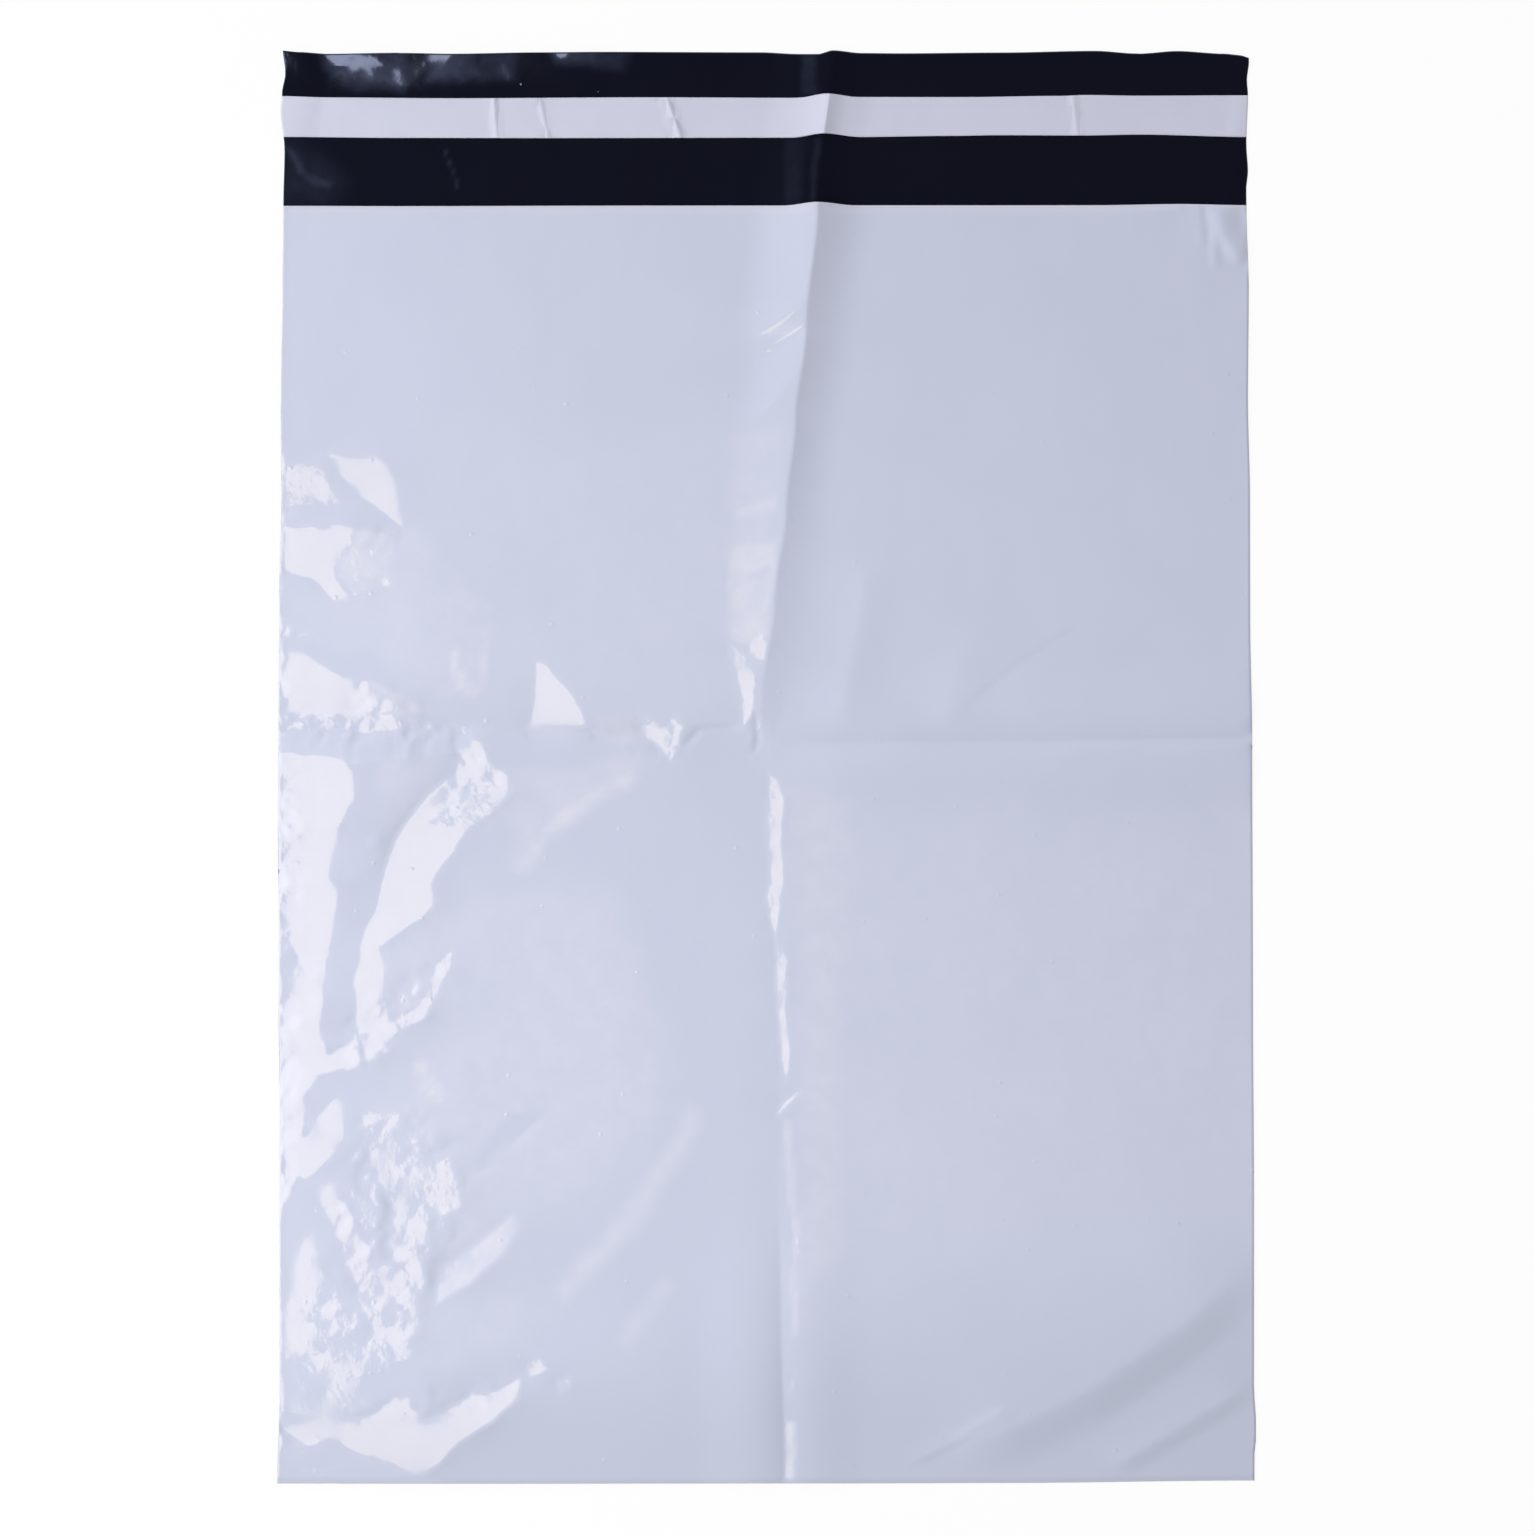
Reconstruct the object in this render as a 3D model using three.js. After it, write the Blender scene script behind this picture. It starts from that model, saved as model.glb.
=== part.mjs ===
// An empty poly mailer bag, lying flat on a table with its mouth open to view.
//
// The bag is one web of film, folded over at the bottom and welded along both sides. The back
// panel is longer than the front one: what stands past the mouth is the closing lip. A band of
// hot-melt adhesive runs across the lip under a wider release liner, which peels off for sealing.
// The bag has been stored folded in four, so the film keeps a hill along the upper half of the
// centre crease, and valleys along its lower half and along the cross crease.
//
// Millimetres, +Z up. X runs across the bag and Y along it, with the lip at +Y. The origin is on
// the table, under the middle of the bag.
import * as THREE from "three";
import { mergeVertices } from "three/addons/utils/BufferGeometryUtils.js";

// The web of film
const bagWidth = 325;
const pouchLength = 425;
const lipLength = 51;
const filmThickness = 0.06;

// Side welds, made by a hot knife that leaves a thin bead
const weldWidth = 1.2;
const weldBead = 0.16;

// Space between the panels of the empty pouch
const foldGap = 0.2;
const pouchLoft = 1.4;
const loftReach = 45;

// Closure on the lip: a release liner over a narrower band of adhesive
const linerWidth = 13.7;
const linerThickness = 0.05;
const linerFromLipEdge = 14.7;
const adhesiveWidth = 9;
const adhesiveThickness = 0.05;

// Centre crease: where it crosses the cross crease, the lip's edge and the bottom fold
const creaseAtLip = 20.5;
const creaseAtCross = -3.5;
const creaseAtBottom = 7;
const crossAboveMiddle = 8.5;

// Hill along the upper half of the centre crease, which fans out from the crossing
const hillHeight = 8.5;
const hillReachLeft = 44;
const hillReachRight = 30;
const hillReachAtCross = 7;

// Shoulders on both sides of a valley crease
const centreShoulder = 2.6;
const centreShoulderReach = 40;
const crossShoulder = 1.5;
const crossShoulderReach = 32;

// Free edge of the lip, which curls up in a few waves
const lipCurl = 3.2;
const lipWaveLength = 118;
const lipWaveShift = 0.9;

// Soft wrinkles that drag across the front panel: end points, height and half width
const wrinkles = [
  { from: [-158, -8], to: [-142, -92], height: 1.6, reach: 16 },
  { from: [-92, -12], to: [-132, -96], height: 2.2, reach: 20 },
  { from: [-44, -18], to: [-94, -66], height: 1.1, reach: 18 },
  { from: [-104, -84], to: [-158, -112], height: 1.4, reach: 16 },
  { from: [-26, -112], to: [-66, -166], height: 1.3, reach: 18 },
  { from: [-76, -142], to: [-122, -186], height: 1.7, reach: 17 },
  { from: [-150, -118], to: [-136, -190], height: 1.6, reach: 15 },
  { from: [-78, -206], to: [-150, -222], height: 1.8, reach: 18 },
  { from: [158, -178], to: [78, -228], height: 1.5, reach: 34 },
  { from: [-158, 92], to: [-118, 64], height: 1.3, reach: 18 },
];

// Fineness of the facets
const columnsPerSide = 15;
const rowsBelowCross = 17;
const rowsAboveCross = 13;
const crowding = 1.35;
const foldSteps = 4;

// Places along the bag that follow from the sizes
const bagLength = pouchLength + lipLength;
const bottomY = -bagLength / 2;
const mouthY = bottomY + pouchLength;
const lipEdgeY = bagLength / 2;
const crossY = crossAboveMiddle;
const linerHighY = lipEdgeY - linerFromLipEdge;
const linerLowY = linerHighY - linerWidth;
const linerSpare = (linerWidth - adhesiveWidth) / 2;
const adhesiveLowY = linerLowY + linerSpare;
const adhesiveHighY = linerHighY - linerSpare;

const { clamp, lerp, smoothstep } = THREE.MathUtils;

// Height of a crest over the distance from it, both as shares: a sharp top, then a soft landing.
const crest = (q) => (q < 1 ? (1 - q) ** 2 : 0);
// Height of a valley's shoulder: nothing at the crease, full at a third of the reach, then nothing.
const shoulder = (q) => (q < 1 ? 6.75 * q * (1 - q) ** 2 : 0);
// Height of a rounded wave over the distance from its line.
const wave = (q) => (q < 1 ? (1 - q * q) ** 2 : 0);

// Share of the way from the crossing to the lip's edge, and to the bottom fold.
const shareAbove = (y) => clamp((y - crossY) / (lipEdgeY - crossY), 0, 1);
const shareBelow = (y) => clamp((crossY - y) / (crossY - bottomY), 0, 1);

function creaseX(y) {
  return y > crossY
    ? lerp(creaseAtCross, creaseAtLip, shareAbove(y))
    : lerp(creaseAtCross, creaseAtBottom, shareBelow(y) ** 0.6);
}

// The hill grows in height and width on its way from the crossing to the lip.
function hill(x, y) {
  const up = shareAbove(y);
  const side = x - creaseX(y);
  const fullReach = side < 0 ? hillReachLeft : hillReachRight;
  const reach = lerp(hillReachAtCross, fullReach, up);
  return hillHeight * up ** 0.9 * crest(Math.abs(side) / reach);
}

function centreValley(x, y) {
  const down = smoothstep(shareBelow(y), 0, 0.25);
  return centreShoulder * down * shoulder(Math.abs(x - creaseX(y)) / centreShoulderReach);
}

function crossValley(x, y) {
  const nearHill = smoothstep(Math.abs(x - creaseX(y)), 0, centreShoulderReach);
  return crossShoulder * nearHill * shoulder(Math.abs(y - crossY) / crossShoulderReach);
}

function lipCurlAt(x, y) {
  const out = clamp((y - linerLowY) / (lipEdgeY - linerLowY), 0, 1);
  const rise = 0.5 + 0.5 * Math.sin((2 * Math.PI * x) / lipWaveLength + lipWaveShift);
  return lipCurl * out ** 2 * rise;
}

// Height of the back panel's underside over the table.
function underside(x, y) {
  const creases = Math.max(hill(x, y), centreValley(x, y), crossValley(x, y));
  return creases + lipCurlAt(x, y);
}

// Height that one soft wrinkle adds, by the distance from its line.
function wrinkleAt({ from, to, height, reach }, x, y) {
  const along = new THREE.Vector2(to[0] - from[0], to[1] - from[1]);
  const out = new THREE.Vector2(x - from[0], y - from[1]);
  const t = clamp(out.dot(along) / along.lengthSq(), 0, 1);
  return height * wave(out.addScaledVector(along, -t).length() / reach);
}

// Space between the panels: none at the welds, and pinched at the bottom fold and the creases.
function pouchGap(x, y) {
  const fromSide = bagWidth / 2 - weldWidth - Math.abs(x);
  const open = [fromSide, y - bottomY, Math.abs(y - crossY), Math.abs(x - creaseX(y))]
    .map((distance) => smoothstep(distance, 0, loftReach))
    .reduce((product, share) => product * share);
  const fromEdges = smoothstep(Math.min(fromSide, y - bottomY), 0, loftReach / 2);
  const raised = wrinkles.reduce((sum, wrinkle) => sum + wrinkleAt(wrinkle, x, y), 0);
  const pinched = smoothstep(fromSide, 0, 2 * weldWidth) * foldGap;
  return pinched + pouchLoft * open + raised * fromEdges;
}

// Even steps that crowd towards the start of a stretch.
function crowdedSteps(from, to, count) {
  return Array.from({ length: count + 1 }, (_, k) => lerp(from, to, (k / count) ** crowding));
}

// Rows of the mesh, from the bottom fold to the lip's edge.
const foldCentreY = bottomY + filmThickness + foldGap / 2;
const pouchRows = [
  ...crowdedSteps(crossY, foldCentreY, rowsBelowCross).reverse(),
  ...crowdedSteps(crossY, mouthY, rowsAboveCross).slice(1),
];
const lipRows = [
  lerp(mouthY, linerLowY, 0.5),
  linerLowY,
  adhesiveLowY,
  lerp(adhesiveLowY, adhesiveHighY, 0.5),
  adhesiveHighY,
  linerHighY,
  lerp(linerHighY, lipEdgeY, 0.5),
  lipEdgeY,
];
const rowY = [...pouchRows, ...lipRows];
const mouthRow = pouchRows.length - 1;
const lipEdgeRow = rowY.length - 1;

// Places across the flat film in one row. The middle one lies on the centre crease, and the outer
// two on each side span the weld.
function flatStations(y) {
  const pouchEdge = bagWidth / 2 - weldWidth;
  const side = (sign) => [
    ...crowdedSteps(creaseX(y), sign * pouchEdge, columnsPerSide),
    sign * (bagWidth / 2 - weldWidth / 2),
    sign * (bagWidth / 2),
  ];
  return [...side(-1).reverse(), ...side(1).slice(1)];
}
const weldColumns = 2;
const lastColumn = 2 * (columnsPerSide + weldColumns);
const creaseColumn = lastColumn / 2;

// Film doesn't stretch: where it climbs the hill, its edges draw in by what the climb takes up.
function layRow(y) {
  const flat = flatStations(y);
  const back = flat.map((x) => underside(x, y));
  const place = [...flat];
  for (const step of [-1, 1]) {
    for (let i = creaseColumn + step; i >= 0 && i <= lastColumn; i += step) {
      const run = flat[i] - flat[i - step];
      const climb = back[i] - back[i - step];
      place[i] = place[i - step] + Math.sign(run) * Math.sqrt(Math.max(run ** 2 - climb ** 2, 0));
    }
  }
  return flat.map((x, i) => {
    const inWeld = i <= weldColumns || i >= lastColumn - weldColumns;
    const onBead = i === 1 || i === lastColumn - 1;
    return {
      x: place[i],
      y,
      back: back[i],
      gap: inWeld ? 0 : pouchGap(x, y),
      bead: onBead ? weldBead : 0,
    };
  });
}
const film = rowY.map(layRow);

// The four skins of the film, each at column i and row j.
const skinPoint = (height) => (i, j) => {
  const { x, y, ...heights } = film[j][i];
  return [x, y, height(heights)];
};
const backUnder = skinPoint(({ back }) => back);
const backTop = skinPoint(({ back }) => back + filmThickness);
const frontUnder = skinPoint(({ back, gap }) => back + filmThickness + gap);
const frontTop = skinPoint(({ back, gap, bead }) => back + 2 * filmThickness + gap + bead);

// The bottom fold, as arcs about the middle of the gap. Step 0 is on the back panel.
const foldArc = (radiusOf) => (i, k) => {
  const { x, y, back, gap, bead } = film[0][i];
  const radius = radiusOf(gap, bead * Math.sin((Math.PI * k) / (2 * foldSteps)));
  const turn = (Math.PI * k) / foldSteps;
  return [x, y - radius * Math.sin(turn), back + filmThickness + gap / 2 - radius * Math.cos(turn)];
};
const outerFold = (i, k) => {
  if (k === 0) return backUnder(i, 0);
  if (k === foldSteps) return frontTop(i, 0);
  return foldArc((gap, bead) => filmThickness + gap / 2 + bead)(i, k);
};
const innerFold = (i, k) => {
  if (k === 0) return backTop(i, 0);
  if (k === foldSteps) return frontUnder(i, 0);
  return foldArc((gap) => gap / 2)(i, k);
};

// Collects quads as triangles and turns them into one closed geometry.
class Shell {
  corners = [];

  quad(a, b, c, d) {
    this.corners.push(...a, ...b, ...c, ...a, ...c, ...d);
  }

  // A patch of skin over columns i0 to i1 and rows j0 to j1, seen from above or from below.
  patch(point, [i0, i1], [j0, j1], faces) {
    for (let j = j0; j < j1; j++) {
      for (let i = i0; i < i1; i++) {
        const ring = [point(i, j), point(i + 1, j), point(i + 1, j + 1), point(i, j + 1)];
        if (faces === "down") ring.reverse();
        const start = faces === "down" ? 3 : 0;
        this.quad(...[0, 1, 2, 3].map((k) => ring[(k + start) % 4]));
      }
    }
  }

  // A narrow wall between two skins along row j, facing the lip (+1) or the fold (-1).
  rowWall(low, high, [i0, i1], j, facing) {
    for (let i = i0; i < i1; i++) {
      const [a, b] = facing > 0 ? [i + 1, i] : [i, i + 1];
      this.quad(low(a, j), low(b, j), high(b, j), high(a, j));
    }
  }

  // A narrow wall between two skins along column i, facing left (-1) or right (+1).
  columnWall(low, high, i, [j0, j1], facing) {
    for (let j = j0; j < j1; j++) {
      const [a, b] = facing > 0 ? [j, j + 1] : [j + 1, j];
      this.quad(low(i, a), low(i, b), high(i, b), high(i, a));
    }
  }

  geometry() {
    const loose = new THREE.BufferGeometry();
    loose.setAttribute("position", new THREE.Float32BufferAttribute(this.corners, 3));
    const merged = mergeVertices(loose, 1e-3);
    const index = merged.index.array;
    const kept = [];
    for (let t = 0; t < index.length; t += 3) {
      const [a, b, c] = index.slice(t, t + 3);
      if (a !== b && b !== c && c !== a) kept.push(a, b, c);
    }
    merged.setIndex(kept);
    merged.computeVertexNormals();
    return merged;
  }
}

// The bag: both panels, the fold that joins them, the welded sides and the lip.
function filmBag() {
  const shell = new Shell();
  const across = [0, lastColumn];
  const pocket = [weldColumns, lastColumn - weldColumns];
  const pouch = [0, mouthRow];
  shell.patch(backUnder, across, [0, lipEdgeRow], "down");
  shell.patch(frontTop, across, pouch, "up");
  shell.patch(backTop, across, [mouthRow, lipEdgeRow], "up");
  shell.patch(backTop, pocket, pouch, "up");
  shell.patch(frontUnder, pocket, pouch, "down");
  for (let k = 0; k < foldSteps; k++) {
    for (let i = 0; i < lastColumn; i++) {
      shell.quad(outerFold(i, k + 1), outerFold(i, k), outerFold(i + 1, k), outerFold(i + 1, k + 1));
    }
    for (let i = pocket[0]; i < pocket[1]; i++) {
      shell.quad(innerFold(i, k + 1), innerFold(i + 1, k + 1), innerFold(i + 1, k), innerFold(i, k));
    }
  }
  shell.rowWall(frontUnder, frontTop, across, mouthRow, 1);
  shell.rowWall(backUnder, backTop, across, lipEdgeRow, 1);
  for (const [i, facing] of [[0, -1], [lastColumn, 1]]) {
    shell.columnWall(backUnder, backTop, i, [0, lipEdgeRow], facing);
    shell.columnWall(backTop, frontTop, i, pouch, facing);
    for (let k = 0; k < foldSteps; k++) {
      const [near, far] = facing < 0 ? [k, k + 1] : [k + 1, k];
      const centre = backTop(i, 0);
      shell.quad(centre, outerFold(i, near), outerFold(i, far), centre);
    }
  }
  return shell.geometry();
}

// A strip that lies along the lip over rows j0 to j1, between two heights over the lip's face.
function lipStrip(fromY, toY, lift, thickness) {
  const rows = [rowY.indexOf(fromY), rowY.indexOf(toY)];
  const across = [0, lastColumn];
  const low = skinPoint(({ back }) => back + filmThickness + lift);
  const high = skinPoint(({ back }) => back + filmThickness + lift + thickness);
  const shell = new Shell();
  shell.patch(low, across, rows, "down");
  shell.patch(high, across, rows, "up");
  shell.rowWall(low, high, across, rows[0], -1);
  shell.rowWall(low, high, across, rows[1], 1);
  shell.columnWall(low, high, 0, rows, -1);
  shell.columnWall(low, high, lastColumn, rows, 1);
  return shell.geometry();
}

function named(name, geometry, material) {
  const mesh = new THREE.Mesh(geometry, material);
  mesh.name = name;
  return mesh;
}

const paleFilm = new THREE.MeshStandardMaterial({ color: 0xc6cbe0, roughness: 0.3, metalness: 0 });
const clearGlue = new THREE.MeshStandardMaterial({ color: 0xd9d4bd, roughness: 0.2, metalness: 0 });
const linerFilm = new THREE.MeshStandardMaterial({ color: 0xcccfe1, roughness: 0.45, metalness: 0 });

const mailer = new THREE.Group();
mailer.add(
  named("film_bag", filmBag(), paleFilm),
  named(
    "adhesive_strip",
    lipStrip(adhesiveLowY, adhesiveHighY, 0, adhesiveThickness),
    clearGlue,
  ),
  named(
    "release_liner",
    lipStrip(linerLowY, linerHighY, adhesiveThickness, linerThickness),
    linerFilm,
  ),
);

// The origin goes under the middle of the bag's box.
const box = new THREE.Box3().setFromObject(mailer);
const middle = box.getCenter(new THREE.Vector3());
mailer.position.set(-middle.x, -middle.y, -box.min.z);

export default mailer;
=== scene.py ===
# %% [markdown]
# # A poly mailer bag, laid flat
# The object is an empty mailing bag made of one web of thin film. The web is folded at the bottom
# and welded along both sides, and its longer end is the closing lip, where a release liner covers
# the adhesive. Film is pale outside and black inside, and glossy on both faces.
# Nearly all of its look comes from gentle folds that catch a big lamp. So this lesson spends most
# of its length on the height of the film, and only a little on its colour.
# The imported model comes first, because every piece has to stay in its box.

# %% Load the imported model
import math

import bpy
import numpy as np
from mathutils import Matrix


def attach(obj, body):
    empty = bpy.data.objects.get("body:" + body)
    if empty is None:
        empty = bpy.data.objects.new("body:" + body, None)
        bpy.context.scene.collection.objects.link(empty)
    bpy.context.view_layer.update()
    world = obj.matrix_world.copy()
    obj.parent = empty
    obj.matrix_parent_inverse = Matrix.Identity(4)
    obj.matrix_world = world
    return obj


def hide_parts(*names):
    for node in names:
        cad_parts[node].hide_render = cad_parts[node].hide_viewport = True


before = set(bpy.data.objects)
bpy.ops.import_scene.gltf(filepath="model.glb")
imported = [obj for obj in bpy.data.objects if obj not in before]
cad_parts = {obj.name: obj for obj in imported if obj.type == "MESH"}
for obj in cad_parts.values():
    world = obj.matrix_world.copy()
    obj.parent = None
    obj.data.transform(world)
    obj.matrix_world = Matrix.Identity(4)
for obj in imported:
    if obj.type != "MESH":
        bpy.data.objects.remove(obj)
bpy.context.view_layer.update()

MM = 0.001

# %% [markdown]
# ## The camera
# The bag lies on a table and is seen from straight above. A camera that looks down needs no turn
# at all in Blender, because its own axis already points down and its top points along +Y.
# The height over the table sets how much the tall folds lean outwards in the picture, and the
# lens then sets how much of the table fits in it.

# %% Camera over the table
photo_pixels = 1535
pixels_per_mm = 3.0
camera_height = 1400.0
sensor_width = 36.0
seen_up_to = 20.0
view_width = photo_pixels / pixels_per_mm

camera_data = bpy.data.cameras.new("camera")
camera_data.sensor_width = sensor_width
camera_data.lens = sensor_width * camera_height / view_width
camera_data.clip_end = seen_up_to
camera = bpy.data.objects.new("camera", camera_data)
camera.location = (0, 0, camera_height * MM)
bpy.context.scene.collection.objects.link(camera)
bpy.context.scene.camera = camera
print("lens in mm:", round(camera_data.lens, 1))

# %% [markdown]
# ## Two helpers for finishes
# A finish is a small program made of nodes. Written by hand, ten nodes fill a page, so two short
# classes take over. `Wire` stands for a socket: adding or multiplying wires adds the Math nodes.
# `Finish` holds the nodes of one material, or of the light of a room, and makes any other node
# from one method: its type, its settings, and then the values or wires that go into it.

# %% Wire and Finish
class Wire:
    """A socket in a finish that can be added, subtracted and multiplied."""

    def __init__(self, finish, socket):
        self.finish = finish
        self.socket = socket

    def math(self, operation, first, second):
        return self.finish.node("ShaderNodeMath", {"operation": operation}, {0: first, 1: second})

    def __add__(self, other):
        return self.math("ADD", self, other)

    def __sub__(self, other):
        return self.math("SUBTRACT", self, other)

    def __rsub__(self, other):
        return self.math("SUBTRACT", other, self)

    def __mul__(self, other):
        return self.math("MULTIPLY", self, other)

    __radd__ = __add__
    __rmul__ = __mul__


class Finish:
    """The nodes of one material, or of the light of a room."""

    def __init__(self, owner):
        self.owner = owner
        owner.use_nodes = True
        self.tree = owner.node_tree
        self.tree.nodes.clear()

    def node(self, kind, settings=None, values=None, output=0):
        made = self.tree.nodes.new(kind)
        for name, value in (settings or {}).items():
            setattr(made, name, value)
        for name, value in (values or {}).items():
            if isinstance(value, Wire):
                self.tree.links.new(value.socket, made.inputs[name])
            else:
                made.inputs[name].default_value = value
        return Wire(self, made.outputs[output])

    def place_in_mm(self):
        spot = self.node("ShaderNodeTexCoord", output="Object")
        return self.node("ShaderNodeVectorMath", {"operation": "SCALE"}, {0: spot, "Scale": 1 / MM})

    def part(self, vector, axis):
        return self.node("ShaderNodeSeparateXYZ", None, {0: vector}, axis)

    def mark(self, name):
        return self.node("ShaderNodeAttribute", {"attribute_name": name}, output="Fac")

    def noise(self, place, size, detail=2.0, roughness=0.5, output=0):
        values = {"Vector": place, "Scale": 1 / size, "Detail": detail, "Roughness": roughness}
        return self.node("ShaderNodeTexNoise", None, values, output)

    def cells(self, place, size, feature="F1"):
        values = {"Vector": place, "Scale": 1 / size}
        return self.node("ShaderNodeTexVoronoi", {"feature": feature}, values, "Distance")

    def ramp(self, value, low, high, start=0.0, end=1.0):
        settings = {"interpolation_type": "SMOOTHSTEP"}
        values = {"Value": value, 1: low, 2: high, 3: start, 4: end}
        return self.node("ShaderNodeMapRange", settings, values)

    def blend(self, factor, first, second):
        values = {0: factor, 6: first, 7: second}
        return self.node("ShaderNodeMix", {"data_type": "RGBA"}, values, output=2)

    def bump(self, relief_in_mm):
        values = {"Strength": 1.0, "Distance": MM, "Height": relief_in_mm}
        return self.node("ShaderNodeBump", None, values)

    def done(self, surface, output_kind="ShaderNodeOutputMaterial"):
        output = self.tree.nodes.new(output_kind)
        self.tree.links.new(surface.socket, output.inputs["Surface"])
        print("finish", self.owner.name, "has", len(self.tree.nodes), "nodes")
        return self.owner


# %% [markdown]
# ## The lamps
# One big soft lamp hangs to the left, low in the picture. Glossy film is a weak mirror: it shows
# this lamp wherever a fold leans the right way, and those reflections are the white patches.
# A second, smaller lamp stands low at the left. Film would have to stand nearly upright to mirror
# it, so it only brightens the left side and draws the folds. The big lamp's edges are kept as
# values, because the folds are leant by them later.

# %% Lamps
lamp_height = 1150.0
lamp_left, lamp_right = -1180.0, -300.0
lamp_near, lamp_far = -540.0, 170.0
lamp_power = 11.0
side_lamp_place = (-780.0, -40.0, 380.0)
side_lamp_size = 260.0
side_lamp_power = 0.65


def add_lamp(name, place, size_x, size_y, power):
    data = bpy.data.lights.new(name, "AREA")
    data.shape = "RECTANGLE"
    data.size = size_x * MM
    data.size_y = size_y * MM
    data.energy = power
    lamp = bpy.data.objects.new(name, data)
    lamp.location = [part * MM for part in place]
    bpy.context.scene.collection.objects.link(lamp)
    return lamp


big_place = ((lamp_left + lamp_right) / 2, (lamp_near + lamp_far) / 2, lamp_height)
add_lamp("big_lamp", big_place, lamp_right - lamp_left, lamp_far - lamp_near, lamp_power)
side_lamp = add_lamp("side_lamp", side_lamp_place, side_lamp_size, side_lamp_size, side_lamp_power)
side_lamp.rotation_euler.y = -math.atan2(-side_lamp_place[0], side_lamp_place[2])
print("big lamp's middle in mm:", big_place)

# %% [markdown]
# ## The room
# The rest of the light comes from the walls of a pale room. Its ceiling is dark, because black film
# that lies flat mirrors the ceiling and still looks black. One side of the room is brighter than
# the other, as in a room with a window, so film changes its brightness a little with every lean.
# The room could be modelled, but a world that changes with the direction gives the same light and
# takes no time to render.

# %% Room
wall_brightness = 1.145
ceiling_brightness = 0.06
wall_top, ceiling_start = 0.55, 0.8
brighter_side = (-0.4, 0.3, 0.0)

room = Finish(bpy.data.worlds.new("room"))
direction = room.node("ShaderNodeTexCoord", output="Generated")
upwards = room.part(direction, "Z")
walls = room.ramp(upwards, wall_top, ceiling_start, wall_brightness, ceiling_brightness)
sideways = room.node(
    "ShaderNodeVectorMath", {"operation": "DOT_PRODUCT"}, {0: direction, 1: brighter_side}, "Value"
)
room_light = room.node(
    "ShaderNodeBackground", None, {"Color": (1, 1, 1, 1), "Strength": walls + walls * sideways}
)
bpy.context.scene.world = room.done(room_light, "ShaderNodeOutputWorld")
bpy.context.scene.view_settings.view_transform = "Standard"

# %% [markdown]
# ## From the picture to the film
# The folds are placed by the patches of light that they make. Their outlines were read from the
# picture, in its pixels, and this cell turns such a point into millimetres on the table,
# with the middle of the picture as the origin.

# %% Pixels to millimetres
picture_middle = photo_pixels / 2


def across(pixel):
    return (np.asarray(pixel, float) - picture_middle) / pixels_per_mm


def along(pixel):
    return (picture_middle - np.asarray(pixel, float)) / pixels_per_mm


def smooth_step(value, low, high):
    share = np.clip((value - low) / (high - low), 0, 1)
    return share * share * (3 - 2 * share)


def smooth_path(points):
    """A curve through points, level at each of them, as a function of the first value."""
    at, level = np.array(sorted(points), float).T

    def height(value):
        spot = np.clip(np.searchsorted(at, value) - 1, 0, len(at) - 2)
        share = smooth_step(value, at[spot], at[spot + 1])
        return level[spot] + (level[spot + 1] - level[spot]) * share

    return height


print("one pixel in mm:", round(1 / pixels_per_mm, 3))

# %% [markdown]
# ## The outline of the bag
# A mailer isn't a perfect rectangle: the welds draw the film in here and there, and the free edge
# of the lip waves. Each edge is a smooth path through a few points, as pixel pairs of
# (down the picture, across it) for the sides and (across, down) for the other edges.
# Blender's own curves would do as well, but the later cells need to ask each edge where it is at any
# place, and a path of numbers answers that at once.

# %% Edges
left_edge_points = [
    (48, 282.5), (75, 285.3), (95, 282), (112, 280.5), (150, 284.5), (205, 283.3), (300, 282.3),
    (400, 280.7), (500, 281.2), (620, 279), (740, 278.2), (830, 278), (900, 278.6), (1000, 278.6),
    (1100, 279.6), (1200, 279.4), (1400, 279.4), (1484, 277),
]
right_edge_points = [
    (57, 1249), (80, 1247), (96, 1248), (145, 1246.4), (172, 1248), (190, 1246.3),
    (205, 1246.5), (290, 1248.8), (400, 1248), (500, 1250), (620, 1250.2), (740, 1252.2),
    (1000, 1253), (1200, 1254), (1390, 1254), (1425, 1256), (1442, 1256), (1456, 1254.5),
    (1484, 1254.5),
]
lip_edge_points = [
    (280, 50.5), (300, 52), (325, 53.8), (400, 52.7), (404, 57), (408, 53), (450, 53.7),
    (540, 52.3), (600, 51.8), (760, 52.3), (800, 54), (818, 54), (833, 50.3), (862, 53),
    (900, 53.3), (1000, 52.5), (1095, 50.8), (1139, 53.6), (1177, 51), (1225, 53.7), (1240, 55.2),
    (1250, 58),
]
bottom_edge_points = [(277, 1483.3), (450, 1483.6), (850, 1483.2), (1000, 1482.8), (1256, 1480.3)]
mouth_edge_points = [
    (280, 205.8), (400, 206.1), (650, 205.6), (784, 205.5), (817, 201.8), (856, 205.3),
    (1000, 205.3), (1095, 205.2), (1180, 204), (1250, 205.2),
]
liner_top_points = [
    (280, 96), (330, 97.4), (450, 98.2), (650, 97.3), (798, 97.8), (827, 93.4), (858, 97),
    (960, 97.1), (1060, 95.9), (1085, 95), (1140, 95.7), (1250, 95.3),
]
liner_low_points = [
    (280, 136.9), (400, 137.9), (550, 138.1), (792, 137.7), (824, 133.3), (860, 137), (950, 135.9),
    (1000, 135.2), (1080, 135.5), (1140, 134.6), (1250, 137),
]

left_path, right_path = smooth_path(left_edge_points), smooth_path(right_edge_points)


def down_picture(y):
    return picture_middle - y * pixels_per_mm


def across_picture(x):
    return picture_middle + x * pixels_per_mm


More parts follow.
